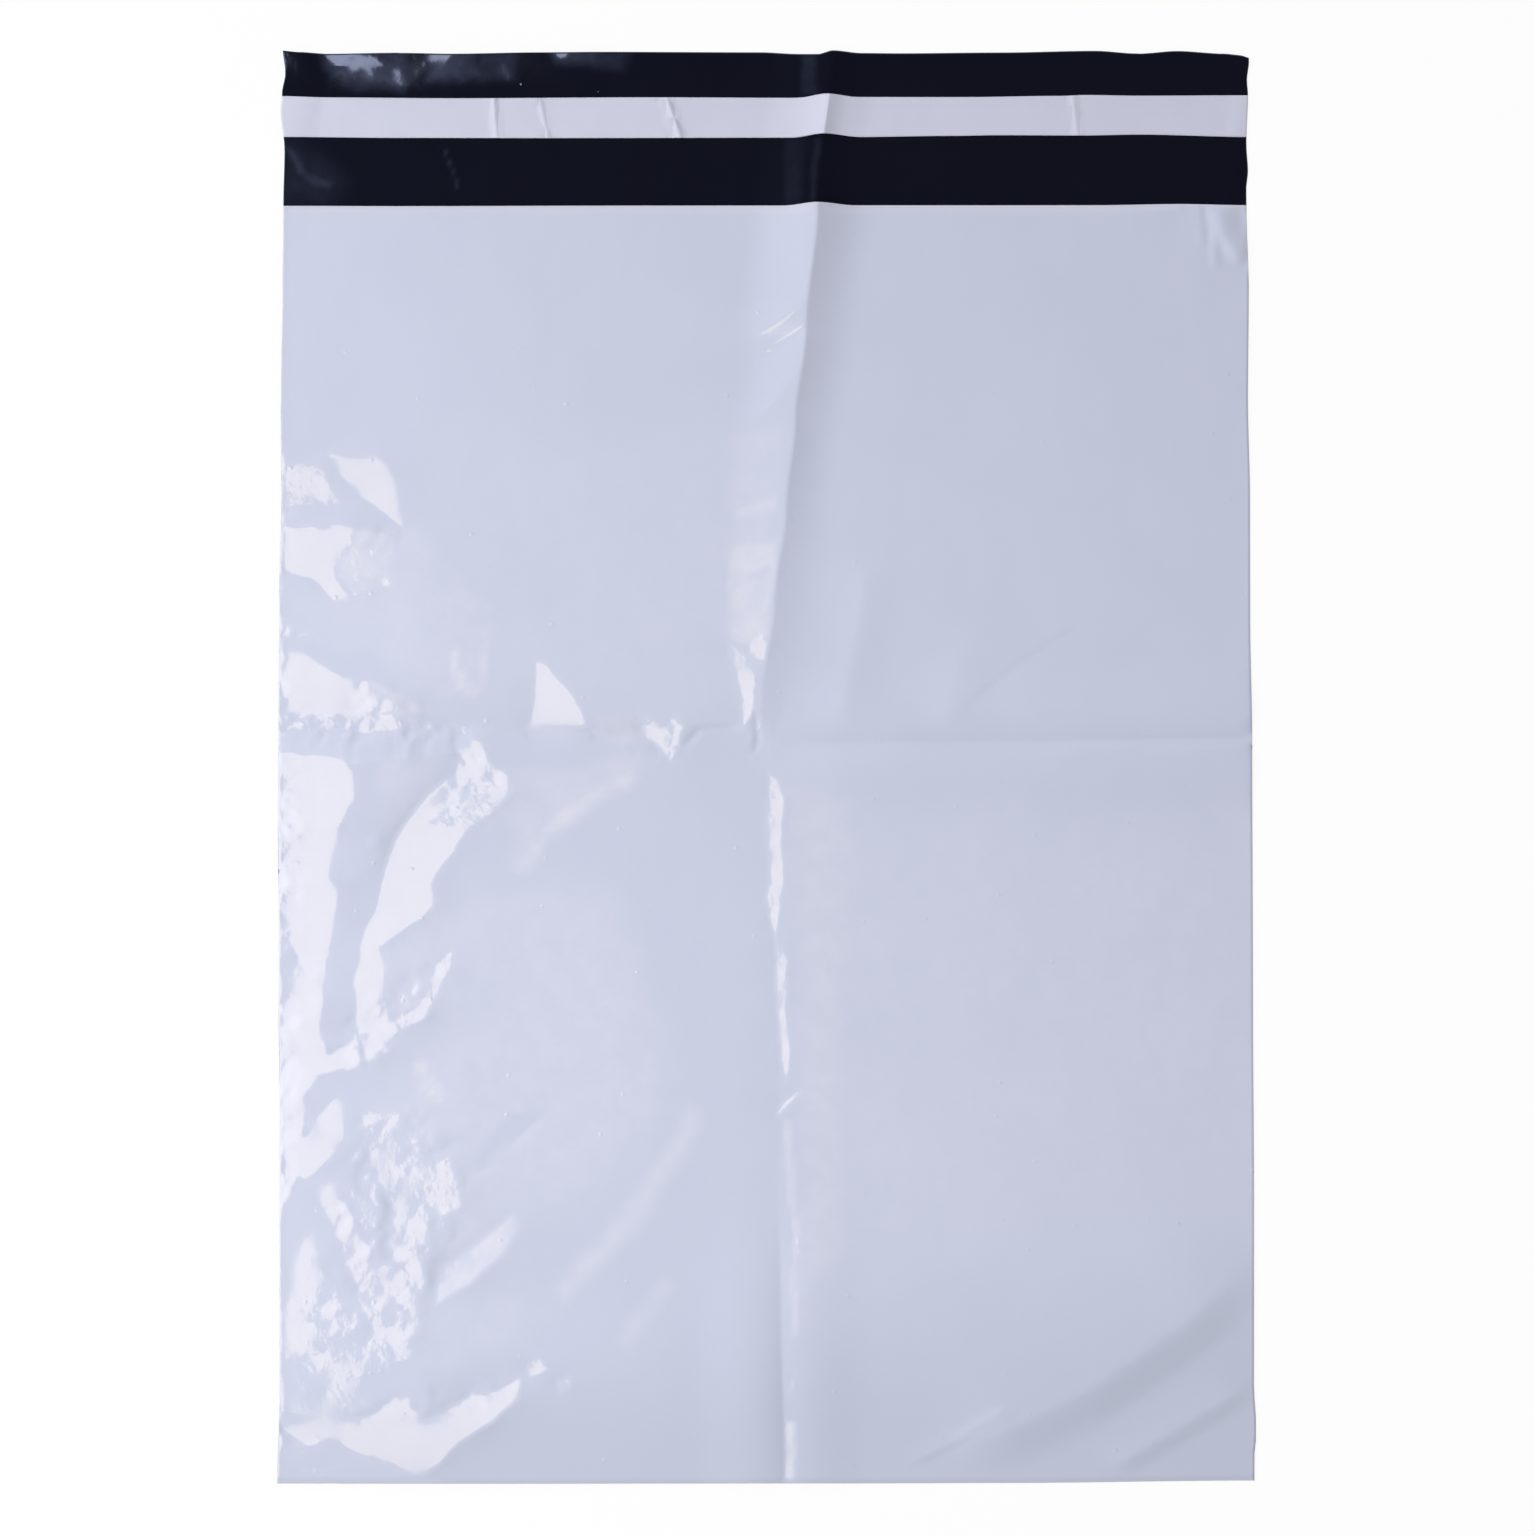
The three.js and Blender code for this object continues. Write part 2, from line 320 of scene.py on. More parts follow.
def side_edges(y):
    row = down_picture(y)
    return across(left_path(row)), across(right_path(row))


def edge_line(points):
    path = smooth_path(points)
    return lambda x: along(path(across_picture(x)))


lip_edge, bottom_edge = edge_line(lip_edge_points), edge_line(bottom_edge_points)
mouth_edge = edge_line(mouth_edge_points)
liner_top, liner_low = edge_line(liner_top_points), edge_line(liner_low_points)
mouth_y = float(mouth_edge(0.0))
bottom_y = float(bottom_edge(0.0))
lip_y = float(lip_edge(0.0))
print("pouch and lip in mm:", round(mouth_y - bottom_y, 1), round(lip_y - mouth_y, 1))

# %% [markdown]
# ## How the bag was folded
# The bag came out of a pack folded in four, and film remembers that. Over the crossing of the two
# creases the centre crease stands up as a hill, and below it the same crease is a valley. The
# cross crease is a valley all the way. A cloth simulation could make such folds, but it would put
# them where it likes. Plain formulas of the distance from a crease put them where they lie on the
# real bag, much as in the CAD model, and both panels and the liner can share them.

# %% Crease lines
centre_crease_points = [
    (50, 832), (205, 818), (330, 806), (420, 795), (510, 786), (600, 775), (700, 762), (742, 757),
    (800, 760), (940, 774), (1060, 779), (1200, 779), (1300, 781), (1484, 785),
]
cross_crease_points = [(279, 717), (450, 723), (600, 735), (745, 742), (900, 741), (1254, 738)]
centre_path = smooth_path(centre_crease_points)
cross_line = edge_line(cross_crease_points)


def centre_crease(y):
    return across(centre_path(down_picture(y)))


print("creases cross at mm:", round(float(centre_crease(0.0)), 1), round(float(cross_line(0.0)), 1))

# %% Hill above the crossing
hill_height, hill_power = 5.8, 0.8
hill_reach_left, hill_reach_right = (12.0, 27.0), (12.0, 17.5)
right_flank_hollow = 0.75


def hill(x, y):
    """The ridge over the crossing: its flanks are hollow, and steepest near the crest."""
    cross_y = cross_line(0.0)
    up = np.clip((y - cross_y) / (lip_y - cross_y), 0, 1)
    side = x - centre_crease(y)
    reach_left = hill_reach_left[0] + np.ptp(hill_reach_left) * up
    reach_right = hill_reach_right[0] + np.ptp(hill_reach_right) * up
    left_share = np.clip(-side / reach_left, 0, 1)
    right_share = np.clip(side / reach_right, 0, 1)
    left_flank = (1 - smooth_step(left_share, 0, 1) + (1 - left_share) ** 2) / 2
    right_flank = (1 - right_share) * (1 - right_flank_hollow * right_share)
    return hill_height * up**hill_power * np.where(side < 0, left_flank, right_flank)


print("hill at the mouth in mm:", round(float(hill(centre_crease(mouth_y), mouth_y)), 1))

# %% Valleys
valley_depth_points = [
    (740, 0.1), (850, 0.2), (1200, 0.2), (1300, 0.8), (1400, 1.1), (1484, 0.9),
]
valley_depth = smooth_path(valley_depth_points)
valley_reach, valley_start = 30.0, 55.0
cross_depth_left, cross_depth_right, cross_reach = 0.55, 1.1, 26.0
cross_deepens_from, cross_deepens_to = -20.0, 40.0
shoulder_scale = 27 / 4


def shoulder(distance, reach):
    """Nothing at a crease, 1 at a third of the reach and nothing again at its end."""
    share = np.clip(np.abs(distance) / reach, 0, 1)
    return shoulder_scale * share * (1 - share) ** 2


def valleys(x, y):
    """A crease that goes down shows as two soft shoulders of film beside it."""
    below = smooth_step(cross_line(x) - y, 0, valley_start)
    centre = shoulder(x - centre_crease(y), valley_reach) * below * valley_depth(down_picture(y))
    away = smooth_step(np.abs(x - centre_crease(y)), 0, valley_reach)
    to_right = smooth_step(x, cross_deepens_from, cross_deepens_to)
    depth = cross_depth_left + (cross_depth_right - cross_depth_left) * to_right
    cross = depth * away * shoulder(y - cross_line(x), cross_reach)
    return np.maximum(centre, cross)


def lying_film(x, y):
    """Height of the folded film, before its finer wrinkles."""
    return np.maximum(hill(x, y), valleys(x, y))


print("film beside the cross crease in mm:", cross_depth_left, "to", cross_depth_right)

# %% [markdown]
# ## Soft folds
# Away from the creases a few low folds run over the film. Each is a path with a height and two
# reaches: how far it falls off to its left and to its right. A short reach on the right makes a
# steep right flank, which is dark, and a short one on the left makes a bright flank. A fold with a
# negative height is a groove.

# %% Soft folds
soft_folds = {
    "low_right_band": (1.9, 50, 14, [(1262, 1250), (1238, 1274), (1188, 1319), (1138, 1354),
                                     (1088, 1389), (1038, 1414), (988, 1439), (930, 1462)]),
    "low_right_second": (0.8, 16, 7, [(1262, 1376), (1244, 1387), (1194, 1417), (1144, 1447),
                                      (1090, 1478)]),
    "light_streak": (0.4, 3.5, 12, [(1012, 1405), (952, 1440)]),
    "dark_line": (0.3, 6, 2.5, [(974, 1432), (935, 1450), (905, 1466)]),
    "corner_crease": (0.4, 5, 1.6, [(1198, 198), (1201, 225), (1203, 252)]),
    "corner_sliver": (0.5, 2.5, 2.2, [(1208, 196), (1213, 228), (1216, 276)]),
    "corner_wedge": (1.4, 4, 9, [(1214, 200), (1222, 235), (1244, 268)]),
    "wedge_right_of_hill": (0.75, 14, 15, [(868, 540), (860, 610), (846, 680), (838, 738)]),
    "second_right_of_hill": (0.5, 11, 16, [(960, 636), (952, 690), (942, 738)]),
    "diagonal_crease": (-0.16, 1.2, 7, [(948, 722), (1016, 663), (1109, 608)]),
    "crossing_knot": (-0.45, 2.2, 2.2, [(754, 708), (757, 738), (754, 756)]),
    "beside_crossing": (-0.35, 2, 3, [(676, 752), (700, 728), (748, 725)]),
    "under_cross_crease": (0.3, 4, 4, [(1030, 750), (1140, 751), (1250, 749)]),
}
far_off = 1e9
fading_share = 0.25


def fold_height(x, y):
    """The soft folds, added up."""
    total = np.zeros(np.shape(x))
    for rise, reach_left, reach_right, path in soft_folds.values():
        points = np.array([(across(px), along(py)) for px, py in path])
        runs = np.hypot(*np.diff(points, axis=0).T)
        length, passed = runs.sum(), 0.0
        nearest = np.full(np.shape(x), far_off)
        side, place = np.zeros(np.shape(x)), np.zeros(np.shape(x))
        for (ax, ay), (bx, by), run in zip(points, points[1:], runs):
            share = np.clip(((x - ax) * (bx - ax) + (y - ay) * (by - ay)) / run**2, 0, 1)
            away = np.hypot(x - ax - share * (bx - ax), y - ay - share * (by - ay))
            to_right = np.sign((x - ax) * (ay - by) + (y - ay) * (bx - ax)) * np.sign(ay - by)
            closer = away < nearest
            side = np.where(closer, to_right, side)
            place = np.where(closer, passed + share * run, place)
            nearest = np.minimum(nearest, away)
            passed += run
        reach = np.where(side < 0, reach_left, reach_right)
        ends = smooth_step(np.minimum(place, length - place), 0, length * fading_share)
        share = np.clip(nearest / reach, 0, 1)
        flank = np.where(side < 0, (1 - share) ** 2, 1 - smooth_step(share, 0, 1))
        total += rise * ends * flank
    return total


print(len(soft_folds), "soft folds")

# %% [markdown]
# ## Noise from a seed
# Real film is never quite regular. A smooth random field, made from a seeded grid of numbers with
# soft steps between them, bends the outlines the same way on every run. Crumpled film is different:
# it breaks into small flat facets with sharp creases between them. For those, seeds are scattered
# over the film, and every place takes the number of its nearest seed.

# %% Soft noise and facets
noise_cells = 256
scatter = 0.45


def soft_noise(x, y, size, seed):
    """Random bumps about one size wide, between -1 and 1."""
    numbers = np.random.default_rng(seed).uniform(-1, 1, (noise_cells, noise_cells))
    u, v = x / size + noise_cells / 2, y / size + noise_cells / 2
    i, j = np.floor(u).astype(int), np.floor(v).astype(int)
    right, up = smooth_step(u - i, 0, 1), smooth_step(v - j, 0, 1)

    def corner(di, dj):
        return numbers[(i + di) % noise_cells, (j + dj) % noise_cells]

    low = corner(0, 0) * (1 - right) + corner(1, 0) * right
    high = corner(0, 1) * (1 - right) + corner(1, 1) * right
    return low * (1 - up) + high * up


def facets(x, y, size, stretch, turn, seed):
    """Flat random facets between -1 and 1, longer by the stretch along the turned direction."""
    numbers = np.random.default_rng(seed).uniform(-1, 1, (noise_cells, noise_cells, 3))
    turn = math.radians(turn)
    u = (x * math.cos(turn) + y * math.sin(turn)) / (size * stretch)
    v = (y * math.cos(turn) - x * math.sin(turn)) / size
    i, j = np.floor(u).astype(int), np.floor(v).astype(int)
    nearest = np.full(x.shape, far_off)
    value = np.zeros(x.shape)
    for di in (-1, 0, 1):
        for dj in (-1, 0, 1):
            seedling = numbers[(i + di) % noise_cells, (j + dj) % noise_cells]
            away_u = u - i - di - 0.5 - scatter * seedling[..., 0]
            away_v = v - j - dj - 0.5 - scatter * seedling[..., 1]
            away = away_u**2 + away_v**2
            value = np.where(away < nearest, seedling[..., 2], value)
            nearest = np.minimum(nearest, away)
    return value


print("seeds before the noise repeats:", noise_cells)

# %% [markdown]
# ## Patches that face the lamp
# A patch of film is white in the picture when it leans so that it mirrors the lamp. Each patch is
# an outline with a glow, from 0 for film that lies flat to 1 for film that shows the lamp in full,
# and a softness in millimetres for its edge. Outlines are read from the picture.

# %% Patches along the left edge and below the crossing
patches = {
    "edge_flag": (1.0, 1, [(279, 474), (300, 467), (325, 462), (327, 478), (331, 494), (324, 508),
                           (316, 498), (305, 497), (300, 507), (279, 505)]),
    "fan": (0.95, 1, [(331, 455), (378, 455), (390, 466), (399, 498), (406, 527), (384, 512),
                      (368, 500), (352, 487), (343, 478)]),
    "fan_foot": (0.8, 1, [(327, 501), (338, 488), (352, 488), (344, 496), (331, 506)]),
    "step": (1.0, 1, [(279, 519), (290, 528), (300, 533), (318, 529), (345, 523), (356, 528),
                      (352, 540), (345, 548), (334, 550), (337, 580), (348, 597), (336, 600),
                      (324, 588), (316, 579), (288, 574), (279, 562)]),
    "shelf": (0.95, 1.5, [(279, 650), (306, 654), (322, 668), (340, 677), (362, 681), (380, 690),
                          (396, 708), (360, 716), (320, 713), (279, 711)]),
    "sail": (1.0, 1, [(536, 660), (547, 664), (570, 693), (584, 712), (588, 726), (560, 729),
                      (529, 727), (534, 700)]),
    "crossing_crumple": (0.85, 1, [(640, 716), (655, 724), (676, 721), (683, 728), (679, 746),
                                  (672, 760), (660, 750), (645, 736)]),
    "crease_strip_high": (0.6, 1, [(279, 719), (306, 722), (300, 727), (279, 726)]),
    "crease_strip_low": (0.75, 1, [(279, 733), (312, 732), (332, 739), (310, 749), (279, 749)]),
    "crease_spark": (0.9, 1, [(328, 723), (343, 734), (336, 743), (327, 737)]),
    "crease_spark_far": (0.8, 1, [(362, 736), (376, 739), (378, 745), (362, 744)]),
    "left_band": (1.0, 1, [(279, 754), (330, 757), (346, 759), (353, 772), (352, 800), (340, 823),
                           (332, 850), (330, 876), (337, 892), (335, 920), (329, 952), (322, 980),
                           (320, 1030), (327, 1056), (345, 1048), (357, 1038), (357, 1060),
                           (345, 1070), (322, 1075), (305, 1092), (303, 1120), (302, 1150),
                           (298, 1172), (279, 1215), (279, 1003), (297, 986), (297, 960),
                           (288, 925), (279, 912)]),
    "long_band": (1.0, 1, [(457, 729), (482, 744), (490, 760), (508, 776), (510, 790), (490, 812),
                           (462, 838), (445, 860), (434, 880), (434, 903), (422, 918), (395, 935),
                           (377, 948), (385, 970), (384, 1000), (390, 1020), (415, 1009),
                           (430, 985), (445, 955), (455, 950), (442, 985), (425, 1018),
                           (400, 1030), (382, 1047), (366, 1060), (358, 1030), (353, 985),
                           (361, 945), (375, 910), (384, 870), (395, 840), (425, 795), (452, 777),
                           (461, 762)]),
    "mid_patch": (0.95, 1, [(341, 1094), (346, 1104), (345, 1130), (338, 1150), (318, 1168),
                            (303, 1178), (298, 1170), (299, 1142), (310, 1135), (322, 1112)]),
    "plate": (0.72, 1, [(353, 1098), (368, 1122), (392, 1104), (400, 1125), (408, 1155),
                       (424, 1158), (445, 1150), (460, 1185), (461, 1208), (448, 1212),
                       (428, 1222), (428, 1246), (414, 1246), (426, 1283), (412, 1302),
                       (413, 1330), (398, 1362), (375, 1366), (362, 1352), (376, 1338),
                       (362, 1310), (357, 1302), (361, 1282), (385, 1266), (398, 1238),
                       (392, 1210), (378, 1175), (368, 1140)]),
    "needle": (0.9, 1, [(320, 1180), (337, 1186), (352, 1218), (372, 1252), (364, 1278),
                        (357, 1286), (344, 1250), (333, 1226), (320, 1205)]),
    "edge_plate": (0.85, 1, [(310, 1225), (318, 1245), (322, 1270), (321, 1292), (316, 1316),
                            (334, 1299), (341, 1309), (322, 1325), (310, 1345), (298, 1357),
                            (279, 1358), (279, 1310), (291, 1302), (294, 1262)]),
    "hatch": (0.36, 3, [(312, 1345), (330, 1335), (345, 1340), (352, 1355), (365, 1385),
                       (372, 1400), (345, 1415), (300, 1412), (281, 1405), (300, 1380)]),
    "bottom_plate": (1.0, 0.8, [(281, 1420), (345, 1420), (372, 1414), (398, 1398), (410, 1404),
                                (420, 1417), (440, 1414), (462, 1399), (490, 1393), (521, 1378),
                                (518, 1397), (495, 1421), (465, 1439), (440, 1461), (425, 1477),
                                (385, 1460), (345, 1445), (330, 1438), (310, 1445), (284, 1432)]),
    "diagonal_patch": (0.8, 2, [(499, 1226), (514, 1214), (519, 1226), (505, 1250), (482, 1270),
                                (462, 1287), (436, 1303), (438, 1288), (452, 1264), (478, 1242)]),
    "knot": (0.8, 1, [(524, 1368), (537, 1360), (546, 1371), (530, 1378)]),
    "small_knot": (0.7, 1, [(555, 1383), (570, 1376), (573, 1384), (561, 1393)]),
}
print(len(patches), "patches on the left")

# %% [markdown]
# ## Patches beside the centre crease
# The centre crease has its own patches: a long ribbon and a thread below the crossing, where the
# left flank of the valley faces the lamp, and a needle and a flag on the ridge above it. They are
# drawn in the same way, so they join the same table.

# %% Patches along the centre crease
patches |= {
    "ribbon": (1.0, 1, [(770, 772), (778, 778), (783, 800), (781, 840), (783, 880), (781, 910),
                        (776, 938), (771, 915), (766, 885), (765, 850), (762, 815), (764, 795)]),
    "thread": (0.95, 0.8, [(776, 935), (785, 955), (789, 985), (787, 1005), (789, 1030),
                           (790, 1055), (785, 1080), (780, 1060), (778, 1025), (776, 1005),
                           (776, 975)]),
    "notch": (1.0, 0.8, [(776, 1113), (782, 1104), (796, 1090), (800, 1093), (788, 1107),
                         (779, 1116)]),
    "thread_end": (0.7, 0.8, [(792, 1226), (797, 1236), (798, 1252), (793, 1246)]),
    "ridge_needle": (1.0, 1, [(736, 672), (755, 674), (754, 700), (750, 722), (746, 724),
                              (742, 700)]),
    "ridge_flag": (0.95, 1, [(751, 641), (768, 639), (765, 660), (757, 656), (750, 650)]),
    "ridge_left": (0.7, 1.5, [(728, 645), (742, 650), (748, 662), (744, 672), (735, 668)]),
    "ridge_glint": (0.7, 1, [(746, 576), (769, 566), (771, 577), (750, 580)]),
}
print(len(patches), "patches face the lamp")

# %% [markdown]
# ## Hazes and quiet spots
# Beside the sharp patches the film is only a little paler, over wide areas with soft edges. There it
# is crinkled so finely that no mesh could hold it, and it mirrors part of the lamp. So a haze is a
# painted sheen: it doesn't lean the film, it is a mark on the mesh, and the finish of the film mixes
# in a paler colour where it is strong.
# A quiet spot is the opposite. It takes a piece out of a patch or a haze that lies over it, which is
# easier than an outline with a hole.

# %% Hazes and quiet spots
painted_sheens = {
    "high_haze": (0.17, 9, [(398, 520), (420, 528), (450, 560), (492, 602), (486, 650), (478, 694),
                            (440, 702), (405, 690), (372, 650), (345, 625), (350, 600), (380, 585),
                            (390, 545)]),
    "edge_haze": (0.1, 5, [(281, 588), (320, 585), (350, 606), (372, 650), (340, 655), (322, 648),
                           (306, 636), (281, 634)]),
    "haze_beside_head": (0.2, 7, [(490, 775), (530, 770), (560, 775), (640, 750), (648, 765),
                                   (610, 790), (560, 815), (530, 850), (510, 870), (515, 830),
                                   (500, 815), (485, 832), (500, 800)]),
    "haze_pocket": (0.2, 2, [(380, 952), (430, 925), (440, 950), (425, 1000), (392, 1016),
                             (386, 985)]),
    "wide_haze": (0.2, 24, [(392, 1100), (400, 1075), (430, 1045), (470, 1010), (478, 985),
                            (455, 975), (440, 990), (447, 955), (430, 950), (425, 915), (470, 893),
                            (520, 885), (570, 885), (610, 900), (640, 960), (662, 1040),
                            (668, 1105), (650, 1135), (600, 1180), (560, 1205), (515, 1212),
                            (480, 1240), (458, 1262), (440, 1290), (430, 1240), (455, 1215),
                            (462, 1190), (445, 1150), (424, 1158), (408, 1155)]),
    "ridge_haze": (0.14, 9, [(728, 430), (785, 430), (777, 500), (770, 560), (764, 640),
                             (745, 640), (728, 600), (722, 540), (724, 480)]),
    "step_ghost": (0.35, 3, [(338, 548), (352, 530), (372, 528), (392, 535), (396, 560),
                             (388, 585), (362, 598), (350, 590), (340, 575)]),
    "shelf_fade": (0.4, 4, [(370, 682), (396, 690), (422, 712), (380, 718)]),
    "kite": (0.4, 1, [(462, 694), (474, 690), (482, 655), (489, 602), (494, 604), (488, 655),
                      (480, 696), (470, 700)]),
    "kite_tip": (0.55, 1, [(447, 655), (453, 645), (460, 668), (470, 690), (462, 690), (452, 675)]),
    "drag": (0.5, 2, [(412, 1062), (425, 1060), (445, 1090), (440, 1108), (425, 1092)]),
    "soft_streak_high": (0.45, 5, [(514, 872), (524, 848), (560, 808), (600, 785), (632, 768),
                                   (640, 776), (604, 800), (570, 824), (545, 842), (528, 874)]),
    "soft_streak_middle": (0.3, 6, [(690, 1105), (702, 1120), (690, 1150), (660, 1190),
                                    (637, 1225), (600, 1264), (566, 1302), (553, 1292),
                                    (598, 1240), (638, 1190), (672, 1140)]),
    "soft_streak_low": (0.2, 5, [(663, 1275), (674, 1285), (654, 1315), (630, 1348),
                                  (618, 1340), (643, 1300)]),
    "soft_streak_left": (0.3, 5, [(503, 1135), (530, 1110), (550, 1120), (522, 1150),
                                   (492, 1172), (472, 1202), (458, 1192), (483, 1150)]),
    "ridge_glow": (0.42, 3, [(728, 548), (778, 540), (767, 641), (750, 645), (730, 640)]),
    "ridge_glint_high": (0.35, 2, [(735, 510), (775, 498), (778, 512), (735, 518)]),
    "thread_low": (0.4, 1.2, [(786, 1118), (791, 1120), (798, 1230), (798, 1330), (792, 1340),
                              (791, 1250), (786, 1160)]),
    "thread_foot": (0.6, 1.2, [(786, 1422), (793, 1424), (794, 1478), (786, 1478)]),
    "high_middle": (0.08, 30, [(430, 430), (770, 440), (740, 725), (430, 710)]),
    "wide_right": (0.1, 50, [(775, 800), (1260, 830), (1260, 1170), (1000, 1240), (775, 1270)]),
    "beside_thread": (0.24, 14, [(785, 790), (850, 800), (840, 1250), (800, 1290), (800, 1000)]),
    "beside_sail": (0.2, 6, [(588, 712), (650, 714), (655, 740), (600, 744)]),
    "beside_pocket": (0.15, 8, [(440, 960), (490, 960), (480, 1030), (440, 1050)]),
    "above_long_band": (0.2, 6, [(375, 760), (440, 760), (420, 800), (385, 830)]),
    "foot_haze": (0.15, 12, [(400, 1300), (440, 1310), (500, 1290), (560, 1300), (520, 1340),
                           (440, 1370), (400, 1380), (413, 1340)]),
}
quiet_spots = {
    "edge_notch": (0.85, 1, [(276, 916), (286, 922), (292, 945), (294, 975), (290, 996),
                             (276, 1004)]),
    "edge_wedge": (1.0, 1, [(279, 1222), (296, 1196), (314, 1172), (320, 1183), (306, 1213),
                            (301, 1240), (291, 1275), (284, 1300), (279, 1303)]),
    "haze_wedge": (1.0, 1, [(473, 1165), (480, 1150), (505, 1120), (530, 1110), (543, 1112),
                            (522, 1135), (500, 1152), (480, 1173)]),
    "plate_hollow": (0.8, 1, [(431, 1202), (462, 1223), (442, 1264), (412, 1264), (416, 1240)]),
    "band_mark": (0.8, 0.8, [(428, 800), (450, 782), (476, 782), (470, 792), (448, 798),
                             (432, 812)]),
    "band_tick": (0.8, 0.8, [(430, 885), (436, 880), (437, 898), (433, 905)]),
}
print(len(painted_sheens), "hazes and", len(quiet_spots), "quiet spots")

# %% [markdown]
# ## Dips that hide the lamp
# Beside the cross crease the film drops towards the crease. There it leans away from the lamp along
# the bag, so it stays dark although it leans the right way across the bag.

# %% Dips
dips = {
    "below_cross_crease": (1.0, 1, [(279, 727), (330, 730), (450, 736), (452, 726), (475, 738),
                                    (470, 748), (455, 752), (400, 758), (352, 762), (346, 757),
                                    (330, 755), (279, 752)]),
    "under_sail": (1.0, 1, [(525, 731), (590, 730), (600, 742), (525, 742)]),
    "above_shelf": (1.0, 1, [(279, 636), (306, 640), (322, 652), (342, 664), (322, 664),
                             (306, 650), (279, 646)]),
    "above_fan": (1.0, 1, [(330, 444), (382, 444), (382, 451), (330, 451)]),
}
print(len(dips), "dips turn away from the lamp")

# %% [markdown]
# ## Zones of small creases
# Most of the film is calm even where it is folded. Small sharp creases crowd together in a few
# zones: along the cross crease, at the left weld and in the lower left corner.

# %% Creased zones
creased_zones = {
    "lower_left": (0.55, 14, [(300, 1300), (345, 1190), (360, 1100), (410, 1100), (470, 1150),
                              (475, 1215), (430, 1300), (410, 1380), (350, 1400), (296, 1400)]),
    "bottom_corner": (0.3, 8, [(281, 1440), (330, 1440), (380, 1478), (281, 1484)]),
    "bottom_knots": (0.45, 6, [(395, 1390), (450, 1380), (545, 1355), (580, 1385), (500, 1410),
                              (400, 1420)]),
    "plate_knots": (0.8, 6, [(375, 1230), (420, 1225), (425, 1300), (385, 1310)]),
    "flag": (0.32, 5, [(281, 470), (325, 462), (332, 510), (300, 520), (281, 522)]),
    "beside_step": (0.5, 5, [(345, 520), (405, 525), (400, 600), (350, 605)]),
    "shelf_end": (0.7, 5, [(350, 672), (400, 690), (430, 716), (360, 722)]),
    "cross_left": (0.95, 3, [(279, 712), (470, 722), (470, 742), (340, 745), (279, 735)]),
    "crossing": (0.7, 2, [(745, 708), (775, 708), (777, 760), (743, 760)]),
    "cross_middle": (0.9, 3, [(600, 722), (690, 716), (690, 760), (655, 765), (600, 745)]),
    "edge_of_band": (0.5, 3, [(279, 752), (300, 760), (305, 900), (300, 1170), (279, 1210)]),
    "beside_ridge": (0.25, 4, [(722, 540), (775, 540), (760, 725), (735, 725)]),
    "along_crease": (0.3, 2, [(764, 770), (792, 770), (800, 1240), (800, 1478), (784, 1478),
                              (774, 1100), (762, 900)]),
    "high_left": (0.12, 8, [(390, 530), (500, 600), (480, 700), (400, 690), (350, 620)]),
    "wide": (0.12, 12, [(430, 900), (640, 900), (670, 1100), (480, 1250), (430, 1300)]),
    "streaks": (0.25, 4, [(510, 860), (520, 840), (640, 765), (646, 778), (560, 830), (520, 880)]),
    "weld_high": (0.8, 2, [(279, 620), (288, 620), (289, 720), (279, 720)]),
    "weld_low": (0.8, 2, [(279, 800), (290, 810), (292, 905), (279, 910)]),
    "long_band_head": (0.75, 6, [(455, 735), (510, 775), (480, 830), (430, 830), (450, 780)]),
    "long_band_foot": (0.5, 5, [(340, 1020), (440, 950), (460, 960), (400, 1050), (345, 1075)]),
}
print(len(creased_zones), "zones of small creases")

# %% [markdown]
# ## Draw the patches on a grid
# Heights are worked out on a fine square grid. First each patch is drawn on it: the signed distance
# to an outline gives a soft-edged mask, and noise bends the place that is looked up, so that no
# edge comes out straight.

# %% Grid and distances
grid_step = 0.6
grid_half = 165


def square_grid(low_y, high_y):
    places_x = np.arange(-grid_half, grid_half, grid_step)
    places_y = np.arange(low_y, high_y + grid_step, grid_step)
    return np.meshgrid(places_x, places_y)


def distance_inside(points, x, y):
    """Distance to a closed outline, positive inside it."""
    nearest = np.full(x.shape, far_off)
    inside = np.zeros(x.shape, bool)
    for (ax, ay), (bx, by) in zip(points, np.roll(points, -1, axis=0)):
        run = (bx - ax) ** 2 + (by - ay) ** 2
        share = np.clip(((x - ax) * (bx - ax) + (y - ay) * (by - ay)) / run, 0, 1)
        away = np.hypot(x - ax - share * (bx - ax), y - ay - share * (by - ay))
        nearest = np.minimum(nearest, away)
        if ay != by:
            crossing = ax + (y - ay) * (bx - ax) / (by - ay)
            inside ^= ((ay > y) != (by > y)) & (x < crossing)
    return np.where(inside, nearest, -nearest)


print("the grid has a point every", grid_step, "mm")

# %% Draw patches
bends = ((9.0, 0.8), (2.6, 0.3))
seed_across, seed_down = 11, 12
room_round_patch = 2


def draw_patches(patches, x, y):
    """The strongest patch at each place of a grid, from 0 to 1."""
    bent_x = x + sum(much * soft_noise(x, y, size, seed_across) for size, much in bends)
    bent_y = y + sum(much * soft_noise(x, y, size, seed_down) for size, much in bends)
    drawn = np.zeros(x.shape)
    for strength, soft, outline in patches.values():
        points = np.array([(across(px), along(py)) for px, py in outline])
        low = points.min(0) - soft - room_round_patch
        high = points.max(0) + soft + room_round_patch
        i = slice(*np.searchsorted(x[0], (low[0], high[0])))
        j = slice(*np.searchsorted(y[:, 0], (low[1], high[1])))
        depth = distance_inside(points, bent_x[j, i], bent_y[j, i])
        mask = smooth_step(depth, -soft / 2, soft / 2)
        drawn[j, i] = np.maximum(drawn[j, i], strength * mask)
    return drawn


